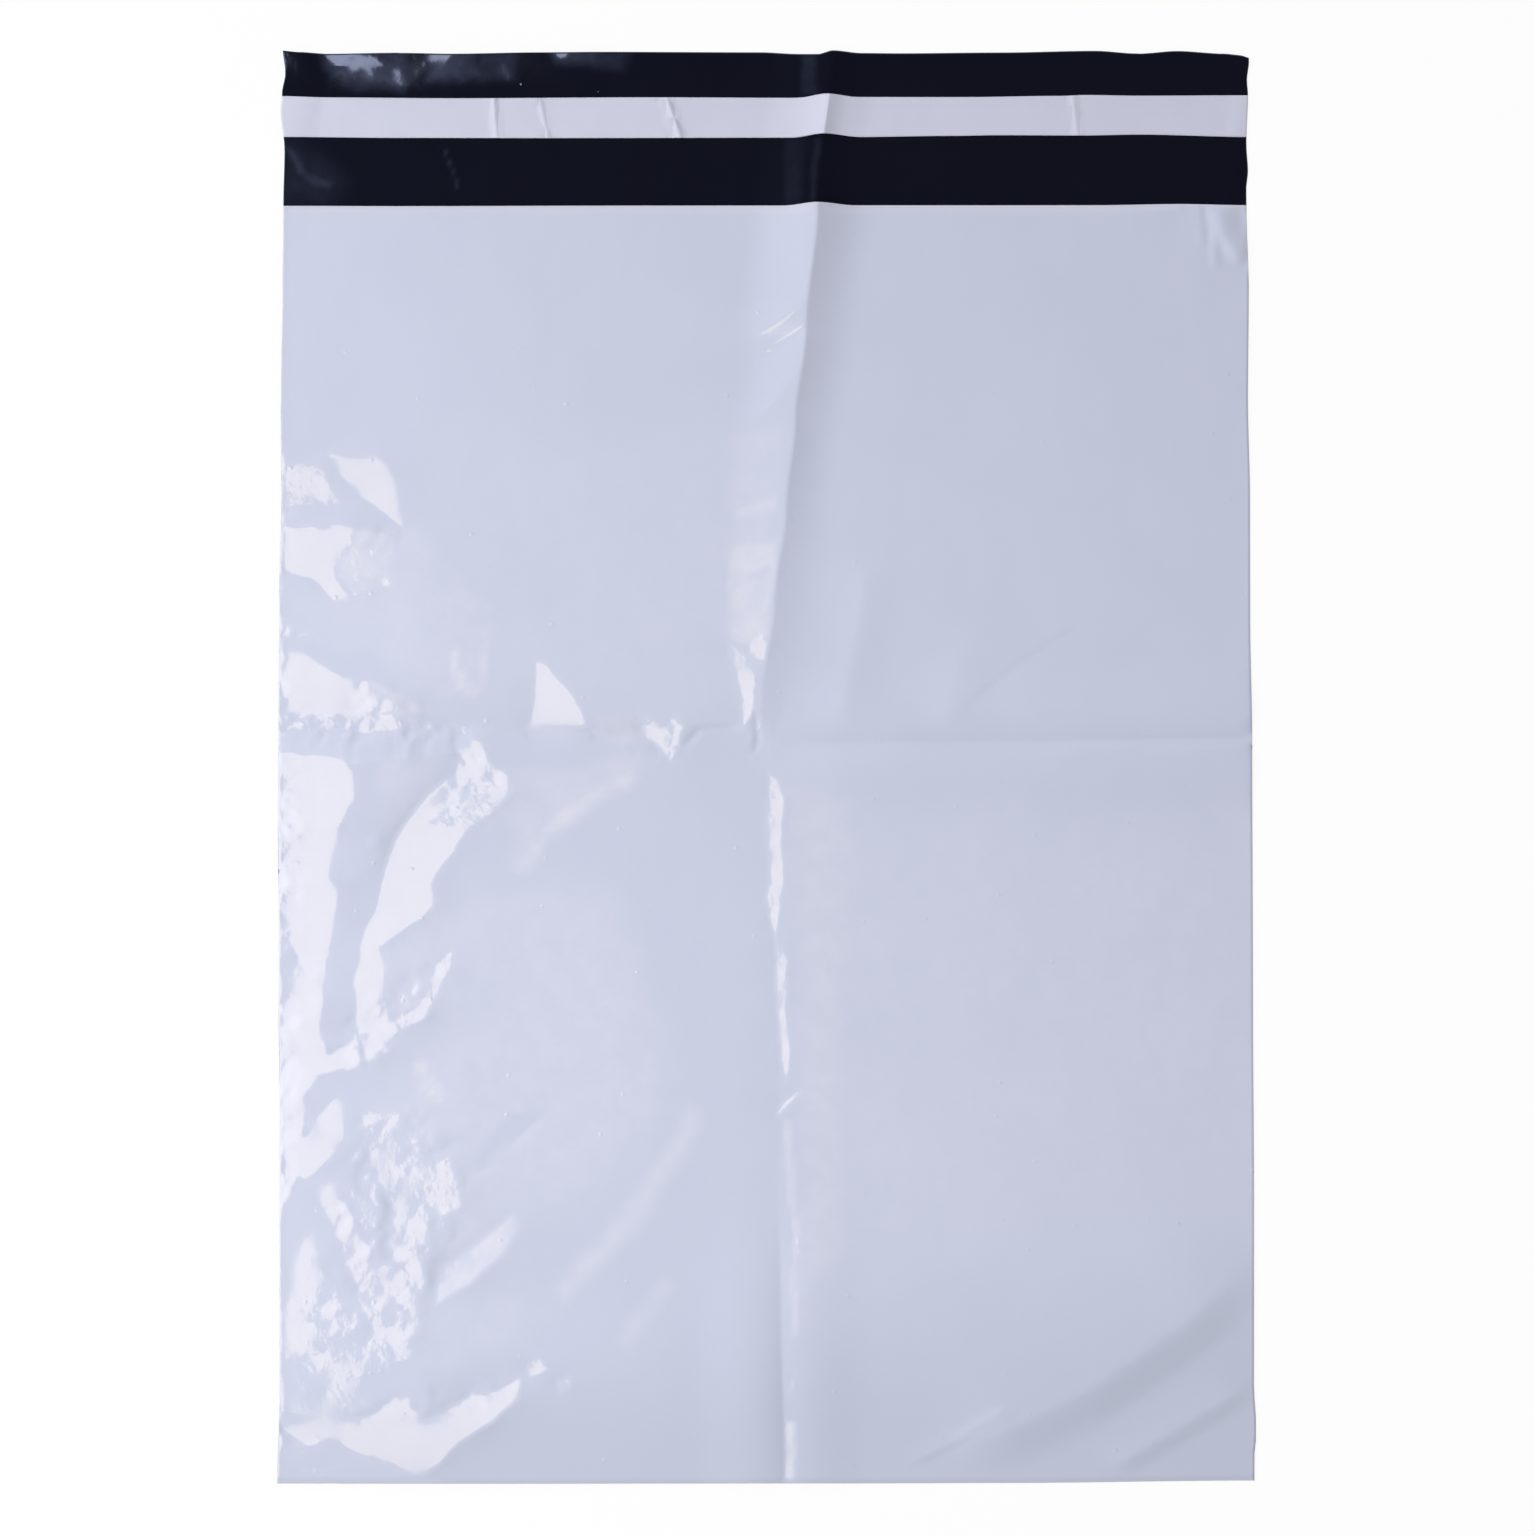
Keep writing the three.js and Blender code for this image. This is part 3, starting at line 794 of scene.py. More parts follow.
gx, gy = square_grid(bottom_y, mouth_y)
quiet = 1 - draw_patches(quiet_spots, gx, gy)
glow = draw_patches(patches, gx, gy) * quiet
# Painted sheen: the hazes give a paler colour where the film mirrors part of the lamp.
painted_sheen = draw_patches(painted_sheens, gx, gy) * quiet * (1 - glow)
dip = draw_patches(dips, gx, gy)
print("share of the panel that faces the lamp:", round(float((glow > 0.5).mean()), 3))

# %% [markdown]
# ## Solve for a height
# Slopes alone aren't a surface: rises and falls have to add up. So the height is the one whose
# slopes come closest to the wanted ones, in the sense of least squares, while it also stays near a
# rest height. Such a problem is solved by conjugate gradients: a short loop that only needs the
# slopes of a trial height, and the same step in reverse.

# %% Conjugate gradients
def rise_x(h):
    return np.diff(h, axis=1) / grid_step


def rise_y(h):
    return np.diff(h, axis=0) / grid_step


def rise_x_back(s):
    return -np.diff(np.pad(s, ((0, 0), (1, 1))), axis=1) / grid_step


def rise_y_back(s):
    return -np.diff(np.pad(s, ((1, 1), (0, 0))), axis=0) / grid_step


def between_x(v):
    return (v[:, 1:] + v[:, :-1]) / 2


def between_y(v):
    return (v[1:] + v[:-1]) / 2


def settle(height, rest, hold, slope_x, slope_y, weight_x, weight_y, steps):
    """The height with slopes nearest to the wanted ones, found from a first height."""
    care_x, care_y = between_x(weight_x), between_y(weight_y)

    def pull(h):
        return rise_x_back(care_x * rise_x(h)) + rise_y_back(care_y * rise_y(h)) + hold * h

    goal = rise_x_back(care_x * between_x(slope_x)) + rise_y_back(care_y * between_y(slope_y))
    scale = 1 / (hold + (2 * weight_x + 2 * weight_y) / grid_step**2)
    height = height.copy()
    left_over = goal + hold * rest - pull(height)
    search = scale * left_over
    progress = float((left_over * search).sum())
    for _ in range(steps):
        pulled = pull(search)
        step = progress / float((search * pulled).sum())
        height += step * search
        left_over -= step * pulled
        better = scale * left_over
        following = float((left_over * better).sum())
        search = better + following / progress * search
        progress = following
    return height


print("heights are solved on a grid of", gx.shape[1], "by", gx.shape[0], "places")

# %% [markdown]
# ## Lean the film towards the lamp
# Light leaves a mirror at the angle at which it arrives. Seen from the camera, a spot of flat film
# at x shows the point x times (1 + lamp height / camera height) of the lamp's plane, and a slope
# moves that point by twice the lamp height times the slope. Solving for an edge of the lamp gives
# the slope at which film starts to shine.
# Lit film may lean more than that and quiet film less, so both are limits and not exact slopes.
# The height is therefore solved in rounds, and each round only asks for a change where the last
# height breaks a limit. Film between the patches is free to do what it must.

# %% How far film leans
lean_margin = 0.03
quiet_margin = 0.028
gloss_spread = 0.008
reach_of_mirror = 1 + lamp_height / camera_height


def edge_slope(place, lamp_edge):
    """The slope at which film at a place starts to mirror an edge of the lamp."""
    return (place * reach_of_mirror - lamp_edge) / (2 * lamp_height)


print("slope that starts to shine in the middle:", round(edge_slope(0, lamp_right), 3))

# %% Lean film
lit_from, full_from, dark_from = 0.04, 0.85, 0.5
widest_glow = 1.02
seen_fade_from, seen_fade_to = -0.05, -0.02
smallest_break = 0.001
calm_care, stiff_care = 0.1, 0.3
lit_care_x, quiet_care_x, dark_care_x = 2.0, 1.2, 0.03
lit_care_y, calm_care_y, dark_care_y = 0.6, 0.06, 0.8


def lean_film(x, y, start, rest, hold, glow, dip, rough_x, rough_y, freedom, rounds, steps):
    """Height of film that starts from one shape and leans until its patches mirror the lamp."""
    right_limit = edge_slope(x, lamp_right)
    far_limit, near_limit = edge_slope(y, lamp_far), edge_slope(y, lamp_near)
    start_y, start_x = np.gradient(start, grid_step)
    lit, full, dark = glow > lit_from, glow > full_from, dip > dark_from
    side = 2 * glow - 1
    beyond = gloss_spread * side / np.sqrt(widest_glow - side**2)
    shine_x = right_limit + np.clip(beyond, -quiet_margin, lean_margin)
    height = start
    for _ in range(rounds):
        now_y, now_x = np.gradient(height, grid_step)
        free_x = start_x + (now_x - start_x) * freedom
        free_y = start_y + (now_y - start_y) * freedom
        seen = smooth_step(now_y - far_limit, seen_fade_from, seen_fade_to)
        quiet_x = free_x + (np.minimum(free_x, right_limit - quiet_margin) - free_x) * seen
        slope_x = np.where(full, np.maximum(now_x, shine_x), shine_x)
        slope_x = np.where(lit, slope_x, quiet_x) + rough_x
        lit_y = np.clip(now_y, far_limit + lean_margin, near_limit - lean_margin)
        slope_y = np.where(lit, lit_y, free_y)
        slope_y = np.where(dark, np.minimum(now_y, far_limit - lean_margin), slope_y) + rough_y
        breaks = free_x > quiet_x + smallest_break
        calm = calm_care + stiff_care * (1 - freedom)
        care_x = np.where(lit, lit_care_x, np.where(breaks, quiet_care_x, calm))
        care_x = np.where(dark, dark_care_x, care_x)
        care_y = np.where(lit & (lit_y != now_y), lit_care_y, calm_care_y)
        care_y = np.where(dark, dark_care_y, care_y)
        height = settle(height, rest, hold, slope_x, slope_y, care_x, care_y, steps)
    return height


# %% [markdown]
# ## The front panel at rest
# Before it leans anywhere, the film has a shape to come back to: the folds from above, and a little
# air between the panels. The left half stands higher than the right one, and the crumpled lower
# left corner highest. The air gets thinner towards the welds and the bottom fold.

# %% Rest shape of the front panel
crumple_from, crumple_full = 55, 125
crumple_top, crumple_fade = 112, 40
air_everywhere, air_on_left, air_in_crumple = 0.4, 0.9, 1.3
left_reach = 110
air_at_side, side_reach = 0.6, 9
air_at_fold, fold_reach = 0.5, 16

left_x, right_x = side_edges(gy)
from_side = np.minimum(gx - left_x, right_x - gx)
from_edge = np.minimum(from_side, gy - bottom_edge(gx))
crumpled = smooth_step(-gx, crumple_from, crumple_full)
crumpled = crumpled * smooth_step(crumple_top - gy, 0, crumple_fade)
base = lying_film(gx, gy) + fold_height(gx, gy)
loft = air_at_side + (1 - air_at_side) * smooth_step(from_side, 0, side_reach)
loft = loft * (air_at_fold + (1 - air_at_fold) * smooth_step(gy - bottom_edge(gx), 0, fold_reach))
air = air_everywhere + air_on_left * smooth_step(-gx, 0, left_reach) + air_in_crumple * crumpled
rest_height = base + air * loft
print("rest height in mm: up to", round(float(rest_height.max()), 2))

# %% [markdown]
# ## Height of the front panel
# Now the film leans. Crumpled film may keep the slopes that one round leaves for the next, so its
# folds run on past the patches, and calm film goes back to its rest shape. Facets make it rough
# in the zones of small creases. Its edges are held by a stiffer spring than its middle.

# %% Solve the front panel
solver_rounds = 8
solver_steps = 240
middle_spring, edge_spring, edge_width = 45.0, 14.0, 1.5
hold = 1 / middle_spring**2 + (from_edge < edge_width) / edge_spring**2

facets_across = [(0.05, 2.4, 3.0, 58, 21), (0.04, 2.0, 2.6, -62, 22)]
facets_along = [(0.06, 2.6, 2.4, 35, 24)]
calm_roughness, crumple_roughness = 0.03, 0.12
crumple_freedom = 0.9


def facet_slopes(layers, x, y):
    """Random slopes, from layers of slope, size, stretch, turn and seed."""
    return sum(slope * facets(x, y, *layer) for slope, *layer in layers)


creased = draw_patches(creased_zones, gx, gy)
roughness_of_film = np.maximum(calm_roughness + crumple_roughness * crumpled, creased)
height = lean_film(
    gx, gy, base, rest_height, hold, glow, dip,
    roughness_of_film * facet_slopes(facets_across, gx, gy),
    roughness_of_film * facet_slopes(facets_along, gx, gy),
    crumpled * crumple_freedom, solver_rounds, solver_steps,
)
print("front panel height in mm:", round(float(height.min()), 2), "to", round(float(height.max()), 2))

# %% [markdown]
# ## Heights for any place
# Meshes need the height anywhere, not only on the grid, so one function looks it up with a weighted
# mean of the four grid points around a place. The front panel can't sink into the back panel, so a
# smooth maximum lifts it to a floor. The welds lift off the table by a hair as well, which keeps
# the sharp edge of the film in the light.

# %% Look up heights
film_thickness = 0.06
smallest_gap = 0.05
floor_of_front = 2 * film_thickness + smallest_gap
soft_floor = 0.12
weld_lift, weld_lift_reach = 0.07, 2
cell_and_a_bit = 1.001


def look_up(grid, x, y, low_y):
    u = np.clip((x - gx[0, 0]) / grid_step, 0, grid.shape[1] - cell_and_a_bit)
    v = np.clip((y - low_y) / grid_step, 0, grid.shape[0] - cell_and_a_bit)
    i, j = u.astype(int), v.astype(int)
    right, up = u - i, v - j
    low = grid[j, i] * (1 - right) + grid[j, i + 1] * right
    high = grid[j + 1, i] * (1 - right) + grid[j + 1, i + 1] * right
    return low * (1 - up) + high * up


height = floor_of_front + soft_floor * np.logaddexp(0, (height - floor_of_front) / soft_floor)
height += weld_lift * (1 - smooth_step(from_side, 0, weld_lift_reach))
print("front panel with its floor in mm: up to", round(float(height.max()), 2))

# %% [markdown]
# ## Height of the back panel
# The back panel takes the same hill and valleys, but it has to stay under the front one, by at
# least the film's thickness. Its mesh has wide cells, and a straight cell could cut through a narrow
# fold, so it stays below the lowest place around. Near the welds it comes up to the front panel.
# Towards the lip its hill goes down to half: the lip is one loose layer and lies flatter.

# %% Back panel under the front one
rows_around, columns_around = 5, 2
near_mouth_from, near_mouth_to = 30, 6
lip_flattening, flatten_reach = 0.5, 25
weld_near, weld_far = 1.5, 12
back_slack = 0.1


def lowest_around(grid, cells, axis):
    """The lowest value within some cells along one axis."""
    pads = [(0, 0), (0, 0)]
    pads[axis] = (cells, cells)
    padded = np.pad(grid, pads, mode="edge")
    size = grid.shape[axis]
    return np.minimum.reduce([padded.take(range(k, k + size), axis) for k in range(2 * cells + 1)])


room_below = height - floor_of_front
room_for_rows = lowest_around(room_below, rows_around, 0)
low_room = lowest_around(room_for_rows, columns_around, 1)
near_mouth = smooth_step(gy, mouth_y - near_mouth_from, mouth_y - near_mouth_to)
lower_to_lip = 1 - lip_flattening * smooth_step(gy, mouth_y - flatten_reach, mouth_y)
back_rest = lying_film(gx, gy) * lower_to_lip
back_grid = np.minimum(back_rest, low_room + (room_below - low_room) * near_mouth)
at_weld = 1 - smooth_step(from_edge, weld_near, weld_far)
back_grid = back_grid + (room_for_rows - back_grid) * at_weld
back_grid = np.maximum(back_grid - back_slack * (1 - at_weld), 0)
print("back panel height in mm: up to", round(float(back_grid.max()), 2))

# %% [markdown]
# ## The lip
# The lip is one layer of film with its black inner face up. Black film shows only its gleams, so
# they make most of its look: sharp ones where its curled edge mirrors the lamp, and soft ones
# round them, which are painted gleams. Both are outlines, as on the front panel, and the soft ones
# are hazes again: a paler colour painted on the black.

# %% Gleams and hazes of the lip
lip_gleams = {
    "gleam": (1.0, 0.8, [(324, 46), (352, 46), (350, 55), (378, 56), (381, 60), (387, 64),
                         (378, 68), (373, 66), (367, 71), (362, 65), (356, 70), (352, 66),
                         (349, 70), (346, 64), (341, 68), (333, 66), (327, 61)]),
    "gleam_two": (1.0, 0.8, [(427, 46), (456, 46), (453, 59), (446, 63), (441, 58), (436, 62),
                             (431, 66), (429, 60)]),
    "fold_spark": (0.8, 0.6, [(394, 66), (398, 68), (405, 82), (403, 85), (398, 76)]),
    "small_spark": (0.8, 0.6, [(461, 60), (464, 57), (466, 60), (463, 64)]),
    "streak": (0.55, 1, [(498, 66), (501, 66), (510, 78), (506, 79)]),
    "far_gleam": (1.0, 0.8, [(548, 46), (571, 46), (570, 56), (562, 59), (555, 58)]),
}
# Painted gleams: soft paler marks on the black lip.
lip_painted_sheens = {
    "corner_of_band": (0.25, 12, [(280, 142), (300, 144), (322, 160), (342, 184), (334, 204),
                                 (280, 204)]),
    "corner_crease": (0.7, 3, [(286, 150), (292, 152), (304, 168), (320, 178), (334, 186),
                               (330, 191), (312, 184), (296, 172)]),
    "scratch": (0.45, 0.7, [(440, 145), (442, 145), (449, 160), (454, 176), (458, 191),
                            (456, 191), (452, 176), (447, 161)]),
    "wide_gleam": (0.9, 7, [(322, 50), (404, 50), (410, 76), (402, 88), (345, 86), (330, 70)]),
    "fold_line": (0.9, 1, [(394, 64), (399, 68), (407, 84), (404, 86), (398, 78)]),
    "second_gleam": (0.95, 5, [(424, 50), (474, 50), (480, 74), (460, 80), (430, 78)]),
    "second_tail": (0.5, 6, [(470, 50), (512, 52), (514, 78), (478, 80)]),
    "short_streak": (0.7, 1.5, [(497, 64), (502, 64), (511, 79), (507, 80)]),
    "far_gleam": (0.9, 5, [(546, 48), (600, 50), (596, 64), (556, 62)]),
    "far_tail": (0.45, 6, [(590, 50), (628, 52), (620, 68), (594, 66)]),
    "left_of_ridge": (0.3, 3, [(802, 54), (814, 54), (816, 95), (803, 95)]),
    "left_of_ridge_low": (0.15, 4, [(786, 139), (804, 139), (802, 204), (784, 204)]),
    "beside_ridge_low": (0.2, 1.5, [(814, 139), (820, 139), (816, 204), (811, 204)]),
}
print(len(lip_gleams), "gleams and", len(lip_painted_sheens), "hazes on the lip")

# %% [markdown]
# ## The curl of the lip
# The free edge of the lip curls up a little, in waves that are higher on the left. The curl starts
# at the liner and grows faster than the way out. The hill runs on from the mouth up the lip,
# so the lip starts from the back panel's height at the mouth, moved along with the crease.

# %% Curl of the lip
curl_points = [
    (280, 1.2), (318, 0.8), (355, 2.6), (395, 1.8), (440, 2.6), (500, 1.6), (560, 2.2), (650, 0.6),
    (760, 0.25), (900, 0.5), (1095, 0.4), (1140, 1.2), (1250, 0.6),
]
curl_path = smooth_path(curl_points)
curl_power = 1.7
lip_overlap, past_lip = 6, 2
lip_low_y = mouth_y - lip_overlap
lx, ly = square_grid(lip_low_y, lip_y + past_lip)
out = np.clip((ly - liner_top(lx)) / (lip_edge(lx) - liner_top(lx)), 0, 1)
shift = centre_crease(ly) - centre_crease(mouth_y)
at_mouth = look_up(back_grid, lx - shift, mouth_y - grid_step, bottom_y)
lip_start = at_mouth + curl_path(across_picture(lx)) * out**curl_power
print("lip before it leans, in mm: up to", round(float(lip_start.max()), 2))

# %% [markdown]
# ## Lean the lip
# The lip leans in the same way as the front panel, but in fewer rounds. A spring holds it to its
# curled shape. Between the mouth and the liner the spring is much stiffer, since the pouch holds
# the film down there, except near the left weld, where the lip is crumpled.

# %% Height of the lip
lip_rounds = 4
lip_freedom = 0.5
lip_spring = 20.0
left_end_from, left_end_full = 60, 140
loose_from, loose_full, loose_share = 135, 150, 0.97
lip_wrinkles, lip_facets, lip_ripples = 0.012, (2.0, 2.0, 60, 31), (3.0, 32)
wrinkles_everywhere = 0.2

lip_glow = draw_patches(lip_gleams, lx, ly)
# Painted gleams: where the lip's colour turns paler.
lip_painted_sheen = draw_patches(lip_painted_sheens, lx, ly)
left_end = smooth_step(-lx, left_end_from, left_end_full)
lip_rough = lip_wrinkles * facets(lx, ly, *lip_facets)
lip_rough = lip_rough + lip_wrinkles * soft_noise(lx, ly, *lip_ripples)
lip_rough = lip_rough * (wrinkles_everywhere + left_end)
stiff = (ly < liner_low(lx)) * (1 - loose_share * smooth_step(-lx, loose_from, loose_full))
lip_height = lean_film(
    lx, ly, lip_start, lip_start, 1 / lip_spring**2 + stiff, lip_glow, np.zeros(lx.shape),
    lip_rough, lip_rough, lip_freedom, lip_rounds, solver_steps // 2,
)
lip_height = np.maximum(lip_height, 0)
print("lip height in mm:", round(float(lip_height.max()), 2))

# %% [markdown]
# ## One height for the back panel and the lip
# The pouch and the lip were solved apart. This function joins them: over a few millimetres below
# the mouth it goes over from the one height to the other.

# %% Height of the back panel and the lip
lip_blend = 5


def back_height(x, y):
    """Height of the underside of the back panel and its lip."""
    on_pouch = look_up(back_grid, x, y, bottom_y)
    on_lip = look_up(lip_height, x, y, lip_low_y)
    over = smooth_step(y, mouth_y - lip_blend, mouth_y)
    return on_pouch + (on_lip - on_pouch) * over


print("height at the middle of the mouth in mm:", round(float(back_height(0.0, mouth_y)), 2))

# %% [markdown]
# ## Meshes of film
# Every piece of film is the same kind of mesh: points for its upper face, points just under them,
# and narrow rims that close the gap. Film that lies flat needs few points, but a sharp fold needs
# many. So the mesh starts as a grid of wide cells, and only the cells where the film bends most are
# split into four by four small ones. A wide cell beside a split one takes the small cell's corners
# into its own edge, which keeps the mesh closed.
# All places so far were read from the picture, where a raised point looks further from the middle
# than it is. `closed_sheet` takes that back: it moves each point inwards by its height.

# %% Steps across a sheet
parts = 4


def march(start, end, step_at):
    """Places from start to end, each one a step after the last, stretched to fit."""
    places = [start]
    while places[-1] < end:
        places.append(places[-1] + step_at(places[-1]))
    places = np.array(places)
    return start + (places - start) * (end - start) / (places[-1] - start)


def split_evenly(places):
    """The same places with small even steps between them."""
    count = len(places) - 1
    return np.interp(np.arange(parts * count + 1) / parts, np.arange(count + 1), places)


print("a split cell holds", parts, "by", parts, "small ones")

# %% Faces of a closed sheet
def ring_of(row_length, neighbours_split):
    """Steps round a wide cell, from its first corner, with the corners of split neighbours."""
    ring, place = [], 0
    for step, beside in zip((1, row_length, -1, -row_length), neighbours_split):
        ring += [place + step * k for k in range(parts if beside else 1)]
        place += step * parts
    return np.array(ring)


def top_faces(number, split):
    """Small faces where a cell is split, and else wide ones with their split neighbours' corners."""
    row_length = number.shape[1]
    small = number[:-1, :-1][np.repeat(np.repeat(split, parts, 0), parts, 1)]
    faces = (small[:, None] + np.array([0, 1, row_length + 1, row_length])).tolist()
    padded = np.pad(split, 1)
    beside = np.stack([padded[:-2, 1:-1], padded[1:-1, 2:], padded[2:, 1:-1], padded[1:-1, :-2]], 2)
    for kind in np.ndindex(2, 2, 2, 2):
        alike = ~split & (beside == np.array(kind, bool)).all(axis=2)
        first = number[:-1:parts, :-1:parts][alike]
        faces += (first[:, None] + ring_of(row_length, kind)).tolist()
    return faces


def under_faces(number):
    """One face for each wide cell of the underside, turned to look down."""
    a, b, c, d = number[:-1, :-1], number[:-1, 1:], number[1:, 1:], number[1:, :-1]
    return np.stack([a, d, c, b], axis=2).reshape(-1, 4).tolist()


def rim_faces(number, number_under, split):
    """The narrow faces that close the gap along the four sides."""
    rims = (
        (number[0], number_under[0], split[0]),
        (number[:, -1], number_under[:, -1], split[:, -1]),
        (number[-1, ::-1], number_under[-1, ::-1], split[-1, ::-1]),
        (number[::-1, 0], number_under[::-1, 0], split[::-1, 0]),
    )
    faces = []
    for line, line_under, line_split in rims:
        for k, is_split in enumerate(line_split):
            edge = line[k * parts:(k + 1) * parts + 1:1 if is_split else parts]
            faces.append([line_under[k], line_under[k + 1], *edge[::-1]])
    return faces


print("a wide cell with no split neighbour has", len(ring_of(parts, (0, 0, 0, 0))), "corners")

# %% Closed sheets
def closed_sheet(name, top, under, split, finishes, marks=None):
    """A closed mesh from fine points on top, wide points under it, and which cells are split."""
    number = np.arange(top.shape[0] * top.shape[1]).reshape(top.shape[:2])
    number_under = number.size + np.arange(under.shape[0] * under.shape[1]).reshape(under.shape[:2])
    upper, lower = top_faces(number, split), under_faces(number_under)
    faces = upper + lower + rim_faces(number, number_under, split)
    smooth_count = len(upper) + len(lower)

    points = np.concatenate([top.reshape(-1, 3), under.reshape(-1, 3)])
    points[:, :2] *= 1 - points[:, 2:] / camera_height
    used = np.unique(np.concatenate(faces))
    new_number = np.zeros(len(points), int)
    new_number[used] = np.arange(len(used))
    faces = [new_number[face].tolist() for face in faces]
    mesh = bpy.data.meshes.new(name)
    mesh.from_pydata((points[used] * MM).tolist(), [], faces)

    for finish in finishes:
        mesh.materials.append(finish)
    for mark, strengths in (marks or {}).items():
        strength = np.zeros(len(points))
        strength[:strengths.size] = strengths.ravel()
        mesh.attributes.new(mark, "FLOAT", "POINT").data.foreach_set("value", strength[used])
    finish_number = np.zeros(len(faces), int)
    finish_number[len(upper):smooth_count] = len(finishes) - 1
    mesh.polygons.foreach_set("material_index", finish_number)
    mesh.polygons.foreach_set("use_smooth", np.arange(len(faces)) < smooth_count)
    mesh.update()
    piece = bpy.data.objects.new(name, mesh)
    bpy.context.scene.collection.objects.link(piece)
    print(name, "has", sum(len(face) - 2 for face in faces), "triangles")
    return piece


def most_bent(bend, share):
    """Which wide cells hold the most bent film, up to a share of all cells."""
    worst = bend[:-1, :-1].reshape(bend.shape[0] // parts, parts, bend.shape[1] // parts, parts)
    worst = worst.max(axis=(1, 3))
    return worst > np.quantile(worst, 1 - share)


# %% [markdown]
# ## Colour of the film
# The film is polyethylene, with white and blue pigment on the outside and carbon black inside. Its
# colour changes by a percent or so in clouds, and in streaks along the way in which it was drawn
# out of the machine. Near the bottom fold, where it bends down to the table, its colour is painted a
# little darker: painted shade. Where the mesh carries the haze mark, it is painted paler: painted
# sheen.

# %% Colour of the film
cloud_size, streak_size = 34.0, 9.0
drawn_out_by = (1, 0.35, 1)
cloud_share, streak_share = 0.65, 0.35
tint_low, tint_high = 0.35, 0.65
# Painted shade: the colour darkens towards the bottom fold, along a slant, over this stretch in mm.
painted_shade_slant = 0.15
painted_shade_low, painted_shade_high = -227.0, -172.0
painted_fold_shade = 0.93
mottle_size = 7.0
mottle_low, mottle_high = 0.3, 0.7
# Painted sheen: how strongly the haze mark turns the colour paler.
painted_sheen_least, painted_sheen_mottle = 0.7, 0.6


def film_tint(film, place, colour, darker, pale):
    """Clouds and streaks, painted shade at the bottom end, and the haze mark as a painted sheen."""
    clouds = film.noise(place, cloud_size, detail=3.0)
    drawn_out = film.node(
        "ShaderNodeVectorMath", {"operation": "MULTIPLY"}, {0: place, 1: drawn_out_by}
    )
    streaks = film.noise(drawn_out, streak_size, detail=3.0)
    uneven = film.ramp(clouds * cloud_share + streaks * streak_share, tint_low, tint_high)
    tint = film.blend(uneven, colour, darker)
    # Painted shade: a darker colour towards the bottom fold.
    from_fold = film.part(place, "Y") - painted_shade_slant * film.part(place, "X")
    painted_shade_near_fold = 1 - film.ramp(from_fold, painted_shade_low, painted_shade_high)
    painted_shade_colour = [part * painted_fold_shade for part in darker[:3]] + [1]
    tint = film.blend(painted_shade_near_fold, tint, painted_shade_colour)
    # Painted sheen: a paler colour, in clouds, where the haze mark is.
    cloudy = film.noise(place, mottle_size, detail=4.0, roughness=0.6)
    mottle = film.ramp(cloudy, mottle_low, mottle_high)
    return film.blend(film.mark("painted_sheen") * (painted_sheen_least + painted_sheen_mottle * mottle), tint, pale)


print("colour changes over", cloud_size, "mm in clouds and", streak_size, "mm in streaks")

# %% [markdown]
# ## Relief of the film
# The bump is only for what is too small for the mesh: ripples of a hundredth of a millimetre, gel
# specks, which are tiny hard grains that stand out of any thin film, and the finest creases.
# The creases are the ridges between the cells of a Voronoi pattern. Noise bends the cells, so that
# they don't look like a honeycomb, and they stand in clusters where the mesh carries a crease mark.

# %% Relief of the film
ripple_size, ripple_height = 2.4, 0.012
grain_size, grain_height = 0.5, 0.0015
speck_spacing, speck_height = 11.0, 0.08
speck_core, speck_rim = 0.02, 0.085
crease_bend_size, crease_bend = 4.0, (3, 3, 3)
crease_sizes = (5.5, 2.2)
cluster_size = 4.5
cluster_low, cluster_high = 0.45, 0.62
crease_least, crease_clustered = 0.003, 0.024


def film_relief(film, place):
    """Height in millimetres of ripples, grain, specks and fine creases."""
    ripples = film.noise(place, ripple_size, detail=3.0, roughness=0.6)
    grain = film.noise(place, grain_size)
    speck = 1 - film.ramp(film.cells(place, speck_spacing), speck_core, speck_rim)
    wobble = film.noise(place, crease_bend_size, output="Color")
    bent = film.node(
        "ShaderNodeVectorMath", {"operation": "MULTIPLY_ADD"}, {0: wobble, 1: crease_bend, 2: place}
    )
    wide, narrow = [film.cells(bent, size, "DISTANCE_TO_EDGE") * size for size in crease_sizes]
    clusters = film.ramp(film.noise(place, cluster_size), cluster_low, cluster_high)
    creases = film.mark("creased") * (crease_least + crease_clustered * clusters)
    relief = ripples * ripple_height + grain * grain_height + speck * speck_height
    return relief + (wide + narrow) * creases


print("ripples of", ripple_height, "mm and specks of", speck_height, "mm")

# %% [markdown]
# ## Two finishes for one film
# Both faces are glossy, and the gloss changes a little over the film. The specular tint takes the
# blue out of what the pale side mirrors, because its gleams are warmer than its pigment. The inner
# face gets a higher index of refraction, since black film shows little but its gleams. One function
# makes both faces, so that they keep the same ripples and specks, as two sides of one film do.

# %% Film finishes
gloss_change, gloss_cloud_size = 0.03, 11.0


def film_finish(name, colour, darker, pale, gloss, mirror, warmth):
    film = Finish(bpy.data.materials.new(name))
    place = film.place_in_mm()
    values = {
        "Base Color": film_tint(film, place, colour, darker, pale),
        "Roughness": gloss + gloss_change * film.noise(place, gloss_cloud_size),
        "Normal": film.bump(film_relief(film, place)),
        "IOR": mirror,
        "Specular Tint": warmth,
    }
    return film.done(film.node("ShaderNodeBsdfPrincipled", None, values))


